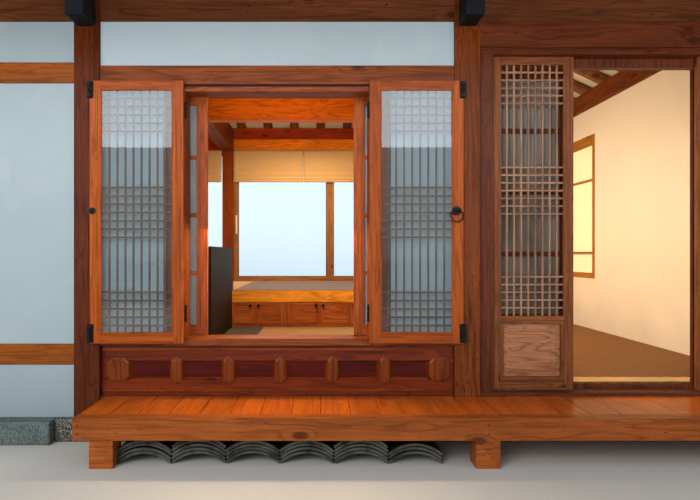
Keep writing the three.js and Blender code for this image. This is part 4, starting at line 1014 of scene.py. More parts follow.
def lattice(work, xs, ys, zs, uprights, levels, wide=11):
    """Upright and level bars halved over each other, with the uprights in front."""
    (x0, x1), (y0, y1), (z0, z1), half = xs, ys, zs, wide / 2
    work.bars(((x - half, y0, z0), (x + half, y1 - 1, z1))
              for x in steps(x0, x1, uprights + 1)[1:-1])
    work.bars(((x0, y0 + 1, z - half), (x1, y1, z + half)) for z in levels)


def bands(pitch, *starts):
    """Heights of the level bars. Each band is given as its first height and its count."""
    return [first - pitch * k for first, count in starts for k in range(count)]


print("lattice leaf ready")

# %% Casements
CASEMENT_Z, GLASS_Z = (616, 2257), (680, 2204)
CASEMENT_Y = (-2517, -2485)
CASEMENT_STILE = 66
LEVELS = bands(52, (2152, 5), (1591.6, 7), (935, 5))
joinery, lattice_bars, panes = Work(), Work(), Work()
for x0, x1 in ((-1066, -481), (681, 1266)):
    leaf_frame(joinery, (x0, x1), CASEMENT_Y, CASEMENT_Z, CASEMENT_STILE, 53, 64)
    inner = (x0 + CASEMENT_STILE, x1 - CASEMENT_STILE)
    lattice(lattice_bars, inner, (-2502, -2486), GLASS_Z, 8, LEVELS, 10)
    panes.bar((inner[0] + 1, -2509, GLASS_Z[0] + 1), (inner[1] - 1, -2505, GLASS_Z[1] - 1))
    surround(joinery, inner, (-2514, -2509.5), GLASS_Z, 9)
casements = piece("casement_joinery", joinery, leaf_wood, ease=1.5)
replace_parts(casements, "window_leaf_left", "window_leaf_right")
# The lattice bars are a darker copy of the casement wood: painted shade.
casement_bar_wood_painted_shade = timber("casement_bar_timber_painted_shade", "7C5438", "442A18", 9.0, 0.5, 0.2, knots=0.2)
piece("casement_bars", lattice_bars, casement_bar_wood_painted_shade, ease=1.5)
piece("casement_panes", panes, casement_glass)

# %% [markdown]
# ## Iron of the casements
#
# Butt hinges join each casement to the window's frame. The free stile has a slide bolt at its
# head and at its foot, a round stud on the left leaf and a ring pull on the right one.

# %% Round fittings
def disc(work, centre, radius, thick, sides=20, dome=0.0):
    """A flat or domed disc that faces the front, its back at the centre's y."""
    cx, cy, cz = centre
    profile = ((1.0, 0.0), (1.0, 0.6), (0.92, 1.0), (0.45, 1.0 + dome), (0.12, 1.0 + dome * 1.3))
    turned(work, [(radius * share, thick * depth) for share, depth in profile], sides, 1,
           lambda u, v, depth: (cx + u, cy - depth, cz + v))


def upright_rod(work, x, y, radius, z0, z1, sides=12):
    """A round rod with eased ends."""
    profile = (radius * 0.7, z0), (radius, z0 + 1.5), (radius, z1 - 1.5), (radius * 0.7, z1)
    turned(work, profile, sides, 2, lambda u, v, z: (x + u, y + v, z))


def ring(work, centre, radius, wire, tilt=0.12, sides=28, around=8):
    """A ring that hangs in front of a face, leaning out a little at its foot."""
    cx, cy, cz = centre
    rows = []
    for a in steps(0, 2 * math.pi, sides):
        rows.append([])
        for b in steps(0, 2 * math.pi, around)[:-1]:
            r = radius + wire * math.cos(b)
            x, z = r * math.sin(a), r * math.cos(a)
            lean = (radius - z) * tilt
            rows[-1].append((cx + x, cy - lean - wire - wire * math.sin(b), cz + z))
    work.strip(rows, closed=True, ends=False)


def rosette(work, centre, radius, petals=8):
    """A plate with a scalloped rim and a dome."""
    cx, cy, cz = centre
    rows = []
    for share, depth in ((1.0, 0.0), (1.0, 1.5), (0.72, 3.0), (0.5, 2.4), (0.42, 6.0), (0.15, 9.0)):
        rows.append([])
        for a in steps(0, 2 * math.pi, petals * 6)[:-1]:
            scallop = 1 + 0.09 * abs(math.sin(a * petals / 2)) if share > 0.6 else 1.0
            r = radius * share * scallop
            rows[-1].append((cx + r * math.cos(a), cy - depth, cz + r * math.sin(a)))
    work.strip(rows, along=1, closed=True)


print("round fittings ready")

# %% Hinges, bolts, stud and ring pull
FACE, HINGE_Y = -2517.2, -2484
HINGE_HEIGHTS, HINGE_HALF = (800, 2080), 52
BOLT_SPANS = ((2145, 2254), (622, 738))
STUD, RING_PULL, PULL_HEIGHT = -1048, 1222, 1444


def butt_hinge(work, x, sign, z):
    """A narrow plate on the frame's jamb, one on the leaf's edge, and three knuckles."""
    for low, high in ((-HINGE_HALF, -18), (-17, 17), (18, HINGE_HALF)):
        upright_rod(work, x, HINGE_Y, 7.5, z + low, z + high)
    for reach in (4, 22):
        x0, x1 = sorted((x, x + sign * reach))
        work.bar((x0, -2479, z - HINGE_HALF), (x1, -2475.4, z + HINGE_HALF))
    upright_rod(work, x, HINGE_Y, 4, z + HINGE_HALF, z + HINGE_HALF + 5)


def slide_bolt(work, x, z0, z1):
    """A bolt in three keepers on a plate that wraps the leaf's free edge, with a knob."""
    middle = (z0 + z1) / 2
    work.bar((x - 21, FACE - 2.5, z0), (x + 21, FACE, z1))
    upright_rod(work, x, FACE - 8, 6.5, z0 + 4, z1 - 4, 10)
    for z in (z0 + 16, middle, z1 - 16):
        work.bar((x - 15, FACE - 15.5, z - 7), (x + 15, FACE - 2, z + 7))
    disc(work, (x, FACE - 15, middle), 7, 6, 12, 0.4)


fittings = Work()
for hinge_x, free_edge, sign in ((-474, -1066, 1), (674, 1266, -1)):
    for z in HINGE_HEIGHTS:
        butt_hinge(fittings, hinge_x, -sign, z)
    for z0, z1 in BOLT_SPANS:
        slide_bolt(fittings, free_edge + sign * 4, z0, z1)
rosette(fittings, (STUD, FACE, PULL_HEIGHT), 20)
rosette(fittings, (RING_PULL, FACE, PULL_HEIGHT), 28)
ring(fittings, (RING_PULL, FACE - 6, PULL_HEIGHT - 32), 38, 4.2)
piece("casement_iron", fittings, iron, ease=0.6, smooth=45)

# %% [markdown]
# ## Paper leaves on the room side
#
# The inner pair has paper on its lattice. They are parked at the two jambs, so only their closing
# stiles and a strip of paper show in the opening.

# %% Paper leaves
PAPER_Z, PAPER_LEVELS, PAPER_STILE = (640.3, 2211.7), (1050, 1430, 1810), 71
joinery, papers = Work(), Work()
for x0, x1 in ((-968, -368), (593, 1193)):
    leaf_frame(joinery, (x0, x1), (-2335.5, -2305), PAPER_Z, PAPER_STILE, 60, 70)
    left, right = x0 + PAPER_STILE, x1 - PAPER_STILE
    for z in PAPER_LEVELS:
        joinery.bar((left, -2333, z - 12), (right, -2319, z + 12))
    papers.bar((left + 1, -2318.5, PAPER_Z[0] + 71), (right - 1, -2317, PAPER_Z[1] - 61))
paper_wood = timber("paper_leaf_timber", "BA5C26", "692B0E", 9.0, 0.45, 0.3)
leaves = piece("paper_leaf_joinery", joinery, paper_wood, ease=1.5)
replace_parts(leaves, "paper_leaf_left", "paper_leaf_right")
piece("paper_leaf_sheets", papers, paper_painted_shade)

# %% [markdown]
# ## Door bay
#
# The doorway has a deep lintel and a grooved head. At each side stands a fixed leaf with lattice
# above a wooden foot panel. Behind them two plain glazed leaves run on a wooden runner and close
# in the middle: they are the house's moving pieces, so each rides on its own body.

# %% Door frame and its grooves
DOORWAY = (1381, 3419)
dress(["door_frame"], door_x, 4)
grooves = [((DOORWAY[0], -2455, z), (DOORWAY[1], -2449.5, z + 6)) for z in (2452, 2463, 2474)]
grooves += [((DOORWAY[0], -2475, z), (DOORWAY[1], -2469.8, z + 5)) for z in (2489, 2640)]
grooves += [((x, -2454.5, 300), (x + 9, -2449.8, 2445)) for x in (1392, 1452, 3338, 3398)]
head_wood = timber("door_head_timber", "72361C", "38180B", 9.0, 0.42, 0.3)
bars("door_mouldings", grooves, head_wood, 1)

# %% Fixed lattice leaves
DOOR_LEVELS = bands(50, (2346, 5), (1734, 7), (1028, 5))
DOOR_Z, DOOR_STILE = (299.3, 2444.7), 58
PANEL_Z, CELLS_Z = (385, 724), (776, 2392.7)


def foot_panel(work, x0, x1, y_face, z0, z1, rim=34):
    """A raised field with level fibres and a sloping rim, let into the leaf's frame."""
    back = y_face + 13
    rows = []
    for inset, y in ((0, back), (0, back - 3), (rim, y_face + 1), (rim + 1, y_face - 1)):
        a, b, c, d = x0 + inset, x1 - inset, z0 + inset, z1 - inset
        rows.append([(a, y, c), (b, y, c), (b, y, d), (a, y, d)])
    work.strip(rows, along=0, closed=True)


joinery, lattice_bars, panels = Work(), Work(), Work()
for x0, x1 in ((1472.3, 2002), (2798, 3327.7)):
    leaf_frame(joinery, (x0, x1), (-2409.5, -2375), DOOR_Z, DOOR_STILE, 52, 63)
    left, right = x0 + DOOR_STILE, x1 - DOOR_STILE
    joinery.bar((left, -2407, 747), (right, -2377, CELLS_Z[0]))
    lattice(lattice_bars, (left, right), (-2402, -2384), CELLS_Z, 8, DOOR_LEVELS, 11)
    joinery.bars(((left, -2405, a), (right, -2380, b)) for a, b in ((362.3, 385), (724, 747)))
    joinery.bars(((a, -2405, PANEL_Z[0]), (b, -2380, PANEL_Z[1]))
                 for a, b in rims(left, right, 22))
    foot_panel(panels, left + 22, right - 22, -2400, *PANEL_Z)
    joinery.bars(((a, -2406, CELLS_Z[0]), (b, -2402.2, CELLS_Z[1]))
                 for a, b in rims(left, right, 8))
leaves = piece("lattice_door_joinery", joinery, door_wood, ease=1.5)
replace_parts(leaves, "lattice_leaf_left", "lattice_leaf_right")
# The door's lattice bars are a paler copy of the door wood: painted highlight on their front faces.
bar_wood = timber("lattice_bar_timber_painted_highlight", "A87E62", "6E4C38", 9.0, 0.5, 0.2, knots=0.2)
piece("lattice_door_bars", lattice_bars, bar_wood, ease=1.5)
panel_wood = timber("foot_panel_timber", "B27854", "54301E", 12.0, 0.45, 0.8, knots=1.2)
piece("lattice_door_panels", panels, panel_wood, ease=1.5)

# %% Sliding leaves, each on its own body, and the pale board on the floor behind their runner
SLIDE_Z, SLIDE_WIDE, SLIDE_STILE, PANE_TOP = (328.3, 2379), 525, 60, 2319
SLIDE_BARS = ((735, 785), (1160, 1190), (1562, 1592), (1962, 1992))
for side, x0, body in (("left", 1478, "left_sliding_door"), ("right", 2797, "right_sliding_door")):
    joinery, panes = Work(), Work()
    leaf_frame(joinery, (x0, x0 + SLIDE_WIDE), (-2364.5, -2335.5), SLIDE_Z, SLIDE_STILE, 60, 90)
    left, right = x0 + SLIDE_STILE, x0 + SLIDE_WIDE - SLIDE_STILE
    joinery.bars(((left, -2361, low), (right, -2339, high)) for low, high in SLIDE_BARS)
    panel_top, pane_low = SLIDE_BARS[0]
    foot_panel(joinery, left, right, -2360, 418.3, panel_top)
    panes.bar((left + 1, -2352, pane_low), (right - 1, -2348, PANE_TOP))
    for a, b in rims(left, right, 8):
        for y0, y1 in ((-2357, -2352.3), (-2347.7, -2343)):
            joinery.bar((a, y0, pane_low), (b, y1, PANE_TOP))
    leaf = piece(f"sliding_joinery_{side}", joinery, slide_wood, body, ease=1.5)
    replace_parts(leaf, f"sliding_leaf_{side}")
    # These panes are painted shade: opaque and dark, where the room behind would show.
    piece(f"sliding_pane_{side}", panes, glass_painted_dark, body)
threshold_wood = timber("threshold_timber", "D0A464", "A07838", 9.0, 0.4, 0.3)
bars("threshold_board", [((1395, -2326, 332.3), (3405, -2206, 339))],
     threshold_wood, 3)

# %% [markdown]
# ## Porch
#
# The narrow porch is a row of short boards that run from the wall to a front beam, on square legs.
# Boards of slightly different width lie a hair apart, with their top worn and polished by feet and
# cloth. The frame's solid keeps legs, beam and joists, and small round pegs mark their joints.

# %% Porch boards
PORCH_X, PORCH_Z, PORCH_FRONT = (-985, 3580), (242.3, 277), -2856.5
BOARD_WIDE, LAST_BOARD = (160, 178), 230
POST_FRONT, RAIL_FRONT = -2481, -2471
dress(["porch_frame"], porch_x, 6)
boards = Work()
x = PORCH_X[0]
while x < PORCH_X[1] - 1:
    width = draw.uniform(*BOARD_WIDE)
    end = PORCH_X[1] if PORCH_X[1] - x < LAST_BOARD else x + width
    at_post = any(x < post + HALF + 1 and end > post - HALF - 1 for post in POSTS[1:])
    top = PORCH_Z[1] - draw.uniform(0, 0.8)
    back = POST_FRONT if at_post else RAIL_FRONT
    boards.bar((x + 1, PORCH_FRONT, PORCH_Z[0]), (end - 1, back, top), along=1)
    x = end
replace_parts(piece("porch_boards_laid", boards, porch_wood, ease=2.5), "porch_boards")

pegs = Work()
for x in (PORCH_X[0] + 26, 1290, 3440, PORCH_X[1] - 26):
    for z in (190, 240):
        disc(pegs, (x, -2936.8, z), 6, 2.2, 10, 0.3)
piece("porch_pegs", pegs, dado_wood, smooth=40)

# %% [markdown]
# ## Spare roof tiles under the porch
#
# Spare trough tiles are kept under the porch in nested stacks. Each tile is a shallow arch of even
# thickness, a little narrower at its far end, and sits on the one below with a small turn.

# %% Spare tiles
STACK_FIRST, STACK_PITCH, STACKS = -612.7, 303, (4, 5, 4, 4, 5, 3)
TILE_HALF, TILE_ARCH, TILE_THICK, TILE_TAPER = 144.8, 57, 17, 0.96


def arc_pair(sides, inner, outer):
    """Points of an inner arc, then of an outer arc back again; t runs from -1 to 1 and back."""
    shares = steps(-1, 1, sides)
    return [inner(t) for t in shares] + [outer(t) for t in reversed(shares)]


def arched_tile(work, centre, base, arch, y0, y1, turn):
    """One curved tile: an arch swept from the front end to a slightly narrower rear end."""
    radius = (TILE_HALF * TILE_HALF + arch * arch) / (2 * arch)
    spread = math.asin(TILE_HALF / radius)

    def arc(r, y, share):
        return lambda t: (centre + r * math.sin(t * spread) * share + turn * (y - y0), y,
                          base + arch - radius + r * math.cos(t * spread))

    ends = (y0, 1.0), ((y0 + y1) / 2, (1 + TILE_TAPER) / 2), (y1, TILE_TAPER)
    work.strip([arc_pair(12, arc(radius, *end), arc(radius + TILE_THICK, *end)) for end in ends],
               along=1, closed=True)


stacks = Work()
for i, count in enumerate(STACKS):
    for k in range(count):
        shift, back = draw.uniform(-2.0, 2.0), draw.uniform(0, 14)
        arched_tile(stacks, STACK_FIRST + i * STACK_PITCH + shift, 1 + k * 21.0,
                    TILE_ARCH - draw.uniform(0, 3), -2870 + back, -2604 + back * 0.3,
                    draw.uniform(-0.008, 0.008))
spare = piece("spare_tiles", stacks, stack_clay_painted_shade, ease=2.5, smooth=40)
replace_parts(spare, "tile_stacks")

# %% [markdown]
# ## Lamps
#
# Two plain box lamps hang at the heads of the posts. They are folded steel with a matt paint, open
# below, with a recessed dark lens.

# %% Lamps
LAMP_HALF, LAMP_Y = 55, (-2660, -2481)
dress(["lamp_left", "lamp_right"], lamp_paint, 3)
lenses = Work()
for x in POSTS[1:3]:
    rows = []
    for inset, z in ((7, 2609.4), (12, 2609.4), (14, 2604.5)):
        a, b = x - LAMP_HALF + inset, x + LAMP_HALF - inset
        c, d = LAMP_Y[0] + inset, LAMP_Y[1] - inset
        rows.append([(a, c, z), (a, d, z), (b, d, z), (b, c, z)])
    lenses.strip(rows, along=0, closed=True)
piece("lamp_lenses", lenses, lamp_inside, ease=1)

# %% [markdown]
# ## The room behind the window
#
# Through the window shows a raised dais with low cupboards in its front, a painted counter at its
# left, and a lit ceiling of plaster between the rafters. The cupboard doors are thin frames in the
# recess under the dais's lip, each with a small iron ring. The dais has a soft mat on its top, and
# the floor by the counter is darker than the rest.

# %% Cupboard doors, counter and mats
CUPBOARDS = ((-630.6, -390), (-357, -41), (34, 370), (382, 719), (740, 1076))
RING_PULLS = (-420, -330, 333, 415, 775)
CUPBOARD_FACE, CUPBOARD_BACK, CUPBOARD_Z = 353.5, 372.4, (372, 612)
FLOOR_TOP, DAIS_TOP, MAT_THICK = 332, 753, 6
doors, rings = Work(), Work()
for x0, x1 in CUPBOARDS:
    doors.bar((x0 + 30, CUPBOARD_FACE + 5, CUPBOARD_Z[0] + 26),
              (x1 - 30, CUPBOARD_BACK, CUPBOARD_Z[1] - 26), along=0)
    surround(doors, (x0, x1), (CUPBOARD_FACE, CUPBOARD_FACE + 12), CUPBOARD_Z, 30, 26)
for (_, left), (right, _) in zip(CUPBOARDS, CUPBOARDS[1:] + ((1219, 0),)):
    doors.bar((left + 1, CUPBOARD_FACE + 4, 368),
              (right - 1, CUPBOARD_BACK, CUPBOARD_Z[1]), along=2)
for x in RING_PULLS:
    rosette(rings, (x, CUPBOARD_FACE - 0.4, 583), 16)
    ring(rings, (x, CUPBOARD_FACE - 4, 566), 17, 2.8, 0.1, 20, 6)
doors.bar((-630.6, CUPBOARD_FACE + 3, 333), (1219, CUPBOARD_BACK, 368))
# The cupboard timber is brightened: partly its own colour, partly painted warm lamplight.
cupboard_wood_painted_light = timber("cupboard_timber_painted_light", "C66C30", "6D3112", 9.0, 0.45, 0.6, knots=1.2)
piece("cupboard_doors", doors, cupboard_wood_painted_light, ease=1.5)
piece("cupboard_rings", rings, iron, smooth=40)
dress(["counter"], counter_paint, 4)
dress(["floor_slab"], woven("floor_paper", "8C5C2A", "73481E", 60.0, sheen=0.03))


def mat(x0, x1, y0, y1, floor, along=1):
    """A thin mat on a floor, as one straight member."""
    return (x0, y0, floor + 0.3), (x1, y1, floor + MAT_THICK), along


bars("dais_mat", [mat(-624, 1214, 380, 2318, DAIS_TOP, 0)], mat_grey, 2)
straw = [mat(x0, x1, -2240, 332, FLOOR_TOP)
         for x0, x1 in ((-3380, -2340), (-2330, -1230), (-268, 1210))]
bars("straw_mats", straw, mat_straw, 2)
bars("dark_mat", [mat(-628, -272, -2240, 332, FLOOR_TOP)], mat_dark, 2)

# %% [markdown]
# ## Roman shades
#
# Linen shades hang in the rear windows, half raised. Each hangs from a head rail, with level folds
# where its rods run. The cloth is one sheet: flat at the head, then folding forward and back at
# each rod.

# %% Shades
SHADE_TOP, SHADE_DROP, SHADE_Y = 2738, 480, 2318.5
SHADE_FOLDS = ((0, 0.36, 3.5), (0.36, 0.66, 5.5), (0.66, 0.82, 9.5), (0.82, 0.92, 13),
               (0.92, 1, 13))
CLOTH_OUT, CLOTH_THICK = 1.5, 1.2

shade_line = []
for start, end, depth in SHADE_FOLDS:
    for t in steps(0, 1, 8)[:-1]:
        forward = CLOTH_OUT + depth * math.sin(math.pi * t ** 1.6) ** 0.8
        down = SHADE_DROP * start + SHADE_DROP * (end - start) * t
        shade_line.append((SHADE_TOP - down, forward))
shade_line.append((SHADE_TOP - SHADE_DROP, CLOTH_OUT))


def roman_shade(name, x0, x1, count=24):
    """One folded sheet, a little uneven across, hung from its rail."""
    rows = []
    for z, forward in shade_line:
        rows.append([])
        for c, x in enumerate(steps(x0, x1, count)):
            sag = 1.2 * math.sin(math.pi * c / count) * (SHADE_TOP - z) / SHADE_DROP
            ripple = 0.8 * math.sin(c * 1.7 + z * 0.02)
            rows[-1].append((x, SHADE_Y - forward - ripple, z + sag))
    work = Work()
    work.strip(rows[::-1], along=0)
    thing = piece(name, work, shade_cloth, smooth=80)
    thicken(thing, "cloth", CLOTH_THICK)
    return thing


rails = [((x0, 2320, 2712), (x1, 2359.4, SHADE_TOP)) for x0, x1 in ((-920, 1100), (-2960, -1096))]
bars("shade_rails", rails, rear_post_wood, 2)
first = roman_shade("roman_shade_left_half", -918, 135.5)
roman_shade("roman_shade_right_half", 138.5, 1158)
left_shade = roman_shade("roman_shade_left_room", -2958, -1098)
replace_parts(first, "roman_shades")
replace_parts(left_shade, "left_roman_shade")

# %% [markdown]
# ## The roof's surfaces as formulas
#
# The slopes are not flat: the tiles curve down like a hung cloth, and the eaves lift at the four
# corners. The frame's solids follow a few formulas, and the same formulas place each rafter's
# plaster and each tile here, so the pieces lie on the slopes wherever they are.

# %% Heights of the slopes
EAVE_X, EAVE_Y, VERGE_X = 4450, 3450, 3150
SLOPE, EAVE_LOW = 0.48, 2534.4
FAN_RUN, CORNER_LIFT = 2000, 230
BOARD_LOW, BOARD_TOP, TILE_BED = 108.2, 136.2, 180
SIDES = (("front", -1, True), ("rear", 1, True), ("left", -1, False), ("right", 1, False))


def lift(x, y):
    """How far the corner's upward sweep raises the slopes."""
    low, high = sorted((abs(x) - (EAVE_X - FAN_RUN), abs(y) - (EAVE_Y - FAN_RUN)))
    return CORNER_LIFT * low * low / (FAN_RUN * high) if low > 0 else 0.0


def under(x, y, run):
    """Underside of the rafters; run is the distance in from the eave."""
    return EAVE_LOW + SLOPE * run + lift(x, y)


def tile_top(x, y, main):
    """Top of the tiles on a main slope or on one over an end, which sags between its edges."""
    run = EAVE_Y - abs(y) if main else EAVE_X - abs(x)
    return under(x, y, run) + BOARD_TOP + TILE_BED - 0.12 * run + 0.0000435 * run * run


def on_slope(side, main, at, run):
    """The place at a distance along one eave and at a run in from it."""
    return (at, side * (EAVE_Y - run)) if main else (side * (EAVE_X - run), at)


print("ridge line at", round(tile_top(0, 0, True)), "mm")

# %% [markdown]
# ## Rafters and the plaster between them
#
# The rafters and their boards are one solid. Between the rafters the boards are plastered, which
# makes the light ceiling. A thin skin is laid just under the boards; the rafters reach down
# through it, so it shows only between them.

# %% Plaster between the rafters
SKIN_DROP, SKIN_THICK, SKIN_MARGIN = 2.5, 4, 130
dress(["rafters_front", "rafters_rear"], roof_wood, 5)
rafter_x = timber("end_rafter_timber", "9A6238", "5E3820", 5.0, 0.55, 0.9, axis="x")
dress(["rafters_left_end", "rafters_right_end"], rafter_x, 5)


def ceiling_skin(work, side, main, high_run, least_half):
    """A thin skin under the boards of one slope, trimmed a little at its edges."""
    rows = []
    for run in steps(70, high_run, 16):
        half = max((EAVE_X if main else EAVE_Y) - run - SKIN_MARGIN, least_half)
        places = [on_slope(side, main, along, run) for along in steps(-half, half, 24)]
        row = [(x, y, under(x, y, run) + BOARD_LOW - SKIN_DROP) for x, y in places]
        rows.append(row if (side > 0) == main else row[::-1])
    work.strip(rows, along=0)


skin = Work()
for side in (-1, 1):
    ceiling_skin(skin, side, True, 3380, 2780)
    ceiling_skin(skin, side, False, 1960, 10)
coat = piece("rafter_plaster_skin", skin, rafter_plaster, smooth=60)
thicken(coat, "coat", SKIN_THICK)

# %% [markdown]
# ## Rows of tiles
#
# Trough tiles lie side by side and lap up the slope, and a row of narrow cover tiles hides each
# joint. A tile here is a short curved shell, laid row by row along the formula of its slope. The
# front end of each shell sits a little higher, so that every lap throws its thin shadow. A trough
# tile is the same shell turned over.

# %% Tile shells
TILE_PITCH = 300
COVER_HALF, COVER_RISE = 84, 62
# length, height over the slope, half width, rise, thickness, lift of the front end, facets
COVER_TILE = (300, -12, COVER_HALF, COVER_RISE, 16, 14, 6)
TROUGH_TILE = (150, 6, TILE_PITCH / 2 - 12, -36, 14, 12, 4)
EAVE_START, SHORTEST_ROW, LAST_TILE = 18, 138, 40


def over(spot, across, half, t, up):
    """A point beside a spot: t half widths across, and higher by up."""
    x, y, z = spot
    return x + across[0] * half * t, y + across[1] * half * t, z + up


def shell(work, start, end, across, half, rise, thick, up_front, sides=6):
    """A curved shell from start to end. across is the level direction over it."""
    def arc(spot, up):
        return lambda t: over(spot, across, half, t, rise * math.cos(t * math.pi / 2) + up)

    work.strip([arc_pair(sides, arc(spot, up), arc(spot, up - thick))
                for spot, up in ((start, up_front), (end, 0.0))], along=1, closed=True)


def lay_row(work, side, main, at, high, tile):
    """One row of tiles from the eave up to a run of high."""
    length, up, *form = tile
    run = EAVE_START
    while run < high - LAST_TILE:
        stop = min(run + length, high)
        ends = [on_slope(side, main, at, place) for place in (run, stop)]
        shell(work, *[(x, y, tile_top(x, y, main) + up) for x, y in ends], (main, not main), *form)
        run = stop


def row_limit(at, main):
    """How far a row can run up from the eave before it meets a hip or a ridge; 0 if too short."""
    if main:
        high = EAVE_Y - 60 if abs(at) <= VERGE_X - 60 else EAVE_X - abs(at) - 40
    else:
        high = min(EAVE_X - 2905, EAVE_Y - abs(at) - 40)
    return high if high > SHORTEST_ROW else 0


for name, side, main in SIDES:
    covers, troughs = Work(), Work()
    count = int(((EAVE_X if main else EAVE_Y) - 120) / TILE_PITCH)
    for k in range(-count, count + 1):
        at, beside = k * TILE_PITCH, (k + 0.5) * TILE_PITCH
        if row_limit(at, main):
            lay_row(covers, side, main, at, row_limit(at, main), COVER_TILE)
            lay_row(troughs, side, main, beside, row_limit(beside, main), TROUGH_TILE)
    piece(f"cover_tiles_{name}", covers, roof_clay, smooth=40)
    piece(f"trough_tiles_{name}", troughs, roof_clay, smooth=40)
dress(["roof_front", "roof_rear", "roof_left_end", "roof_right_end"], roof_clay)

# %% [markdown]
# ## The edge of the eaves
#
# Seen from the ground, a tiled eave is three things: a timber board that follows the lift of the
# corners, hanging plates that end the trough tiles, and pale plugs of mortar in the ends of the
# cover tiles. All of them follow the same formulas, one side after the other.

# %% Eaves boards, hanging plates and plugs
FASCIA_OUT, FASCIA_HIGH = 7, 74
PLUG_HALF, PLATE_HALF = COVER_HALF - 10, TILE_PITCH / 2 - 16
PLUG_RUNS, PLATE_RUNS = (22, 34), (-13, -1)


def end_plate(work, spots, across, half, upper, lower):
    """A plate between two curves that closes a tile's end. spots are its front and its back."""
    def arc(spot, curve):
        return lambda t: over(spot, across, half, t, curve(math.cos(t * math.pi / 2)))

    work.strip([arc_pair(8, arc(spot, upper), arc(spot, lower)) for spot in spots], closed=True)


def fascia(work, side, main):
    """The eaves board of one side, bent with the lift of the corners."""
    width = (EAVE_X if main else EAVE_Y) + FASCIA_OUT
    rows = []
    for along in steps(-width, width, 72):
        rows.append([])
        for out, up in ((FASCIA_OUT, 0), (FASCIA_OUT, FASCIA_HIGH), (0, FASCIA_HIGH), (0, 0)):
            x, y = on_slope(side, main, along, -out)
            corner = max(-EAVE_X, min(EAVE_X, x)), max(-EAVE_Y, min(EAVE_Y, y))
            rows[-1].append((x, y, under(*corner, 0) + BOARD_TOP + up))
    work.strip(rows, along=0 if main else 1, closed=True)


boards, plates, plugs = Work(), Work(), Work()
for _, side, main in SIDES:
    fascia(boards, side, main)
    count = int((EAVE_X if main else EAVE_Y) / TILE_PITCH * 2)
    for k in range(-count, count + 1):
        at, is_cover = k * TILE_PITCH / 2, k % 2 == 0
        if not row_limit(at, main):
            continue
        ends = [on_slope(side, main, at, run) for run in (PLUG_RUNS if is_cover else PLATE_RUNS)]
        level = tile_top(*ends[0], main)
        spots = [(*end, level) for end in ends]
        if is_cover:
            end_plate(plugs, spots, (main, not main), PLUG_HALF,
                      lambda arch: (COVER_RISE - 14) * arch - 2, lambda arch: -8.0)
        else:
            end_plate(plates, spots, (main, not main), PLATE_HALF,
                      lambda arch: 2 - 34 * arch, lambda arch: -14 - 74 * arch)
fascia_wood = timber("eaves_board_timber", "8E5026", "562D14", 6.0, 0.55, 0.9)
piece("eaves_boards", boards, fascia_wood, ease=2)
piece("eaves_plates", plates, roof_clay, ease=2)
piece("eaves_plugs", plugs, mortar, ease=2)

# %% [markdown]
# ## Ridges
#
# Each ridge is a low wall of flat tiles laid in lime, with a row of cover tiles on top and a plain
# disc at its end. The courses are swept along the ridge's line: each course is a little wider than
# the mortar line under it.

# %% Ridge walls
# half width, rise, thickness, lift of the front end, facets
RIDGE_CAP, CAP_LENGTH = (80, 58, 18, 12, 8), 290
MAIN_REACH, MAIN_TALL, MAIN_SWEEP, MAIN_BED = 3135, 365, 130, 60
GABLE_LINE, GABLE_REACH, GABLE_BED, GABLE_TALL = 3000, (130, 2165), 50, 205
HIP_REACH, HIP_BED, HIP_TALL, HIP_SWEEP = (500, 1925), 35, 173, 70
DISC_RADIUS, DISC_THICK = 78, 26
DISC_PROFILE = ((1.0, 0), (1.0, 26), (0.82, 26), (0.78, 18), (0.3, 18), (0.24, 24), (0.05, 26))


def beside(a, b):
    """The level direction at right angles to the way from a to b."""
    dx, dy = b[0] - a[0], b[1] - a[1]
    length = math.hypot(dx, dy)
    return -dy / length, dx / length


def ridge_section(half, tall, courses):
    """Half widths and heights of one ridge wall, in courses of tile and mortar."""
    each = tall / courses
    section = []
    for k in range(courses):
        section += [(half - 13, k * each), (half - 13, k * each + each * 0.28),
                    (half, k * each + each * 0.3), (half, (k + 1) * each - 1)]
    return section


def ridge_wall(work, line, half, talls, courses):
    """A ridge wall along a line of places. talls gives the wall's height at each place."""
    rows = []
    for i, (x, y, z) in enumerate(line):
        nx, ny = beside(line[max(i - 1, 0)], line[min(i + 1, len(line) - 1)])
        section = ridge_section(half, talls[i], courses)
        right = [(x + nx * w, y + ny * w, z + h) for w, h in section]
        left = [(x - nx * w, y - ny * w, z + h) for w, h in reversed(section)]
        rows.append(right + left)
    work.strip(rows, along=0, closed=True)


def cap_row(work, line, talls):
    """Cover tiles along the top of a ridge wall."""
    tops = [(x, y, z + tall) for (x, y, z), tall in zip(line, talls)]
    for a, b in zip(tops, tops[1:]):
        count = max(1, round(math.dist(a[:2], b[:2]) / CAP_LENGTH))
        marks = list(zip(*[steps(a[i], b[i], count) for i in range(3)]))
        for start, end in zip(marks, marks[1:]):
            shell(work, start, end, beside(a, b), *RIDGE_CAP)


def end_disc(work, centre, direction):
    """A plain round end tile with a raised rim."""
    (cx, cy, cz), (dx, dy) = centre, direction
    turned(work, [(DISC_RADIUS * share, out) for share, out in DISC_PROFILE], 20, 0,
           lambda u, v, out: (cx + dx * out - dy * u, cy + dy * out + dx * u, cz + v))


walls, caps = Work(), Work()
peak = tile_top(0, 0, True)
line = [(x, 0, peak - MAIN_BED) for x in steps(-MAIN_REACH, MAIN_REACH, 22)]
talls = [MAIN_TALL + MAIN_SWEEP * (x / MAIN_REACH) ** 2 for x, _, _ in line]
ridge_wall(walls, line, 128, talls, 12)
cap_row(caps, line, talls)
for side in (-1, 1):
    end_disc(caps, (side * (MAIN_REACH - DISC_THICK), 0, peak + 350), (side, 0))

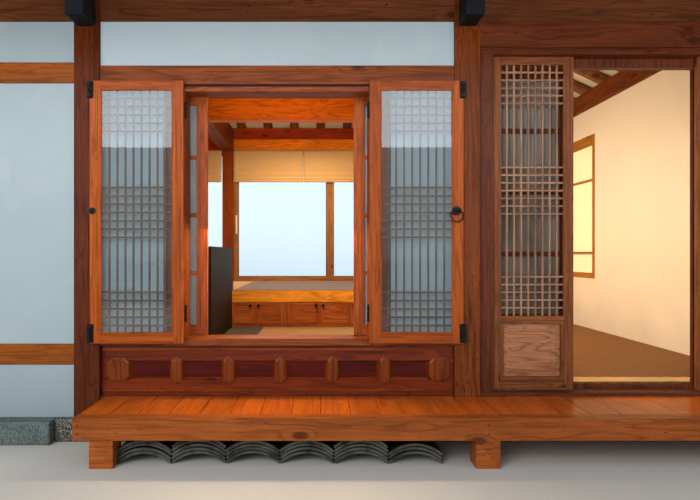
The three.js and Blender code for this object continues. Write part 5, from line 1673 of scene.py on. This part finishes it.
for sign_x, sign_y in ((-1, -1), (-1, 1), (1, -1), (1, 1)):
    line = [(sign_x * GABLE_LINE, sign_y * y, tile_top(GABLE_LINE, y, True) - GABLE_BED)
            for y in steps(*GABLE_REACH, 12)]
    talls = [GABLE_TALL] * len(line)
    ridge_wall(walls, line, 92, talls, 6)
    cap_row(caps, line[::-1], talls)
    x, y, z = line[-1]
    end_disc(caps, (x, y, z + 110), (0, sign_y))
    line, talls = [], []
    for out in steps(*HIP_REACH, 12):
        x, y = EAVE_X - FAN_RUN + out, EAVE_Y - FAN_RUN + out
        low = min(tile_top(x, y, True), tile_top(x, y, False))
        line.append((sign_x * x, sign_y * y, low - HIP_BED))
        talls.append(HIP_TALL + HIP_SWEEP * (out / FAN_RUN) ** 2)
    ridge_wall(walls, line, 80, talls, 6)
    cap_row(caps, line[::-1], talls)
    x, y, z = line[-1]
    end_disc(caps, (x, y, z + 120), (sign_x * math.sqrt(0.5), sign_y * math.sqrt(0.5)))
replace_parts(piece("ridge_walls", walls, roof_clay, smooth=30), "ridges")
piece("ridge_caps", caps, roof_clay, smooth=40)

# %% [markdown]
# ## Gables
#
# The small gables under the verges are closed with upright boards, and battens cover the joints.

# %% Gable boards
BATTEN_PITCH, BATTEN_HALF, SHORTEST_BATTEN = 165, 17, 90
GABLE_FACE = 2900
gable_ground = timber("gable_ground", "96583A", "54301E", 5.0, 0.55, 0.9, axis="z")
dress(["gable_left", "gable_right"], gable_ground, 3)
battens = Work()
for side in (-1, 1):
    x0, x1 = sorted((side * (GABLE_FACE + 0.5), side * (GABLE_FACE + 14)))
    for y in [k * BATTEN_PITCH for k in range(-9, 10)]:
        top = EAVE_LOW + SLOPE * (EAVE_Y - abs(y) - 20) + BOARD_LOW - 14
        low = tile_top(GABLE_FACE, y, False) + 4
        if top - low > SHORTEST_BATTEN:
            battens.bar((x0, y - BATTEN_HALF, low), (x1, y + BATTEN_HALF, top))
piece("gable_battens", battens, gable_wood, ease=2)

# %% [markdown]
# ## Floor and light
#
# A plain pale floor and soft daylight from above let the timber speak. Warm lamps fill the rooms,
# so the window and the doorway glow a little against the shaded front.

# %% Stage and lights
FLOOR = 80
mesh = bpy.data.meshes.new("ground")
corners = ((-1, -1), (1, -1), (1, 1), (-1, 1))
mesh.from_pydata([(x * FLOOR, y * FLOOR, 0) for x, y in corners], [], [(0, 1, 2, 3)])
earth = Finish("pale_ground", Roughness=0.9, Specular_IOR_Level=0.0)
soft = noise(room_place(earth.tree), 1.5, 3.0, 0.5)
earth.feed(Base_Color=mix(soft, "C9C8C3", "D2D1CD"))
mesh.materials.append(earth.material)
ground = bpy.data.objects.new("ground", mesh)
ground.location = (0, 0, -0.001)
bpy.context.scene.collection.objects.link(ground)

world = bpy.data.worlds.new("daylight")
world.use_nodes = True
sky = world.node_tree
background = sky.nodes["Background"].inputs
height = part(put(sky, "TexCoord", "Generated"), "Z")
haze = mix(between(height, -0.06, 0.02), "7E7E7C", "EEF0EE")
plug(background["Color"], mix(between(height, 0.12, 0.7), haze, "CCD6E0"))
background["Strength"].default_value = 0.88
bpy.context.scene.world = world


def area_light(name, place, aim, size, watts, colour, mirrored=False, spread=180):
    """A soft rectangle of light that faces a point. A mirrored one only shows in reflections."""
    data = bpy.data.lights.new(name, "AREA")
    data.shape = "RECTANGLE"
    data.size, data.size_y = size
    data.energy = watts
    data.color = colour
    data.spread = math.radians(spread)
    lamp = bpy.data.objects.new(name, data)
    lamp.location = place
    direction = [aim[i] - place[i] for i in range(3)]
    lamp.rotation_euler = Vector(direction).to_track_quat("-Z", "Y").to_euler()
    lamp.visible_camera = lamp.visible_transmission = False
    lamp.visible_glossy = mirrored
    lamp.visible_diffuse = not mirrored
    bpy.context.scene.collection.objects.link(lamp)


WARM, LAMPLIGHT = (1.0, 0.74, 0.45), (1.0, 0.93, 0.8)
area_light("key", (-4.5, -10.0, 4.6), (0.5, -2.4, 0.9), (5, 4), 400, (1.0, 0.97, 0.92))
area_light("rear_key", (9.0, 8.5, 7.0), (0, 2.4, 1.5), (5, 5), 340, (1.0, 0.98, 0.95))
area_light("middle_room", (0.1, -0.9, 2.68), (0.1, -0.9, 0), (1.2, 1.6), 58, WARM)
area_light("dais_room", (0.2, 1.3, 2.68), (0.2, 1.5, 0), (1.2, 0.8), 42, WARM)
area_light("right_room", (1.7, -0.3, 2.0), (3.5, -0.3, 0.9), (3.2, 1.0), 46, LAMPLIGHT)
area_light("left_room", (-2.3, 0.0, 2.7), (-2.3, 0.0, 0), (1.4, 2.4), 40, WARM)
area_light("ceiling_wash", (0.1, -0.6, 2.2), (0.1, 0.4, 4.0), (1.6, 1.2), 40, WARM)
area_light("sky_card", (0, -12.5, 5.7), (0, 0, 5.7), (16, 3.8), 1500, (0.8, 0.91, 1.0), True)
area_light("eaves_fill", (0, -7.5, 0.5), (0, -2.4, 2.7), (8, 0.8), 41, (1.0, 0.98, 0.95), spread=60)
area_light("sill_glow", (0.1, -2.34, 1.35), (0.1, -2.75, 0.28), (0.9, 0.12), 11, WARM)
bpy.context.scene.view_settings.view_transform = "Standard"
print("stage and lights ready")
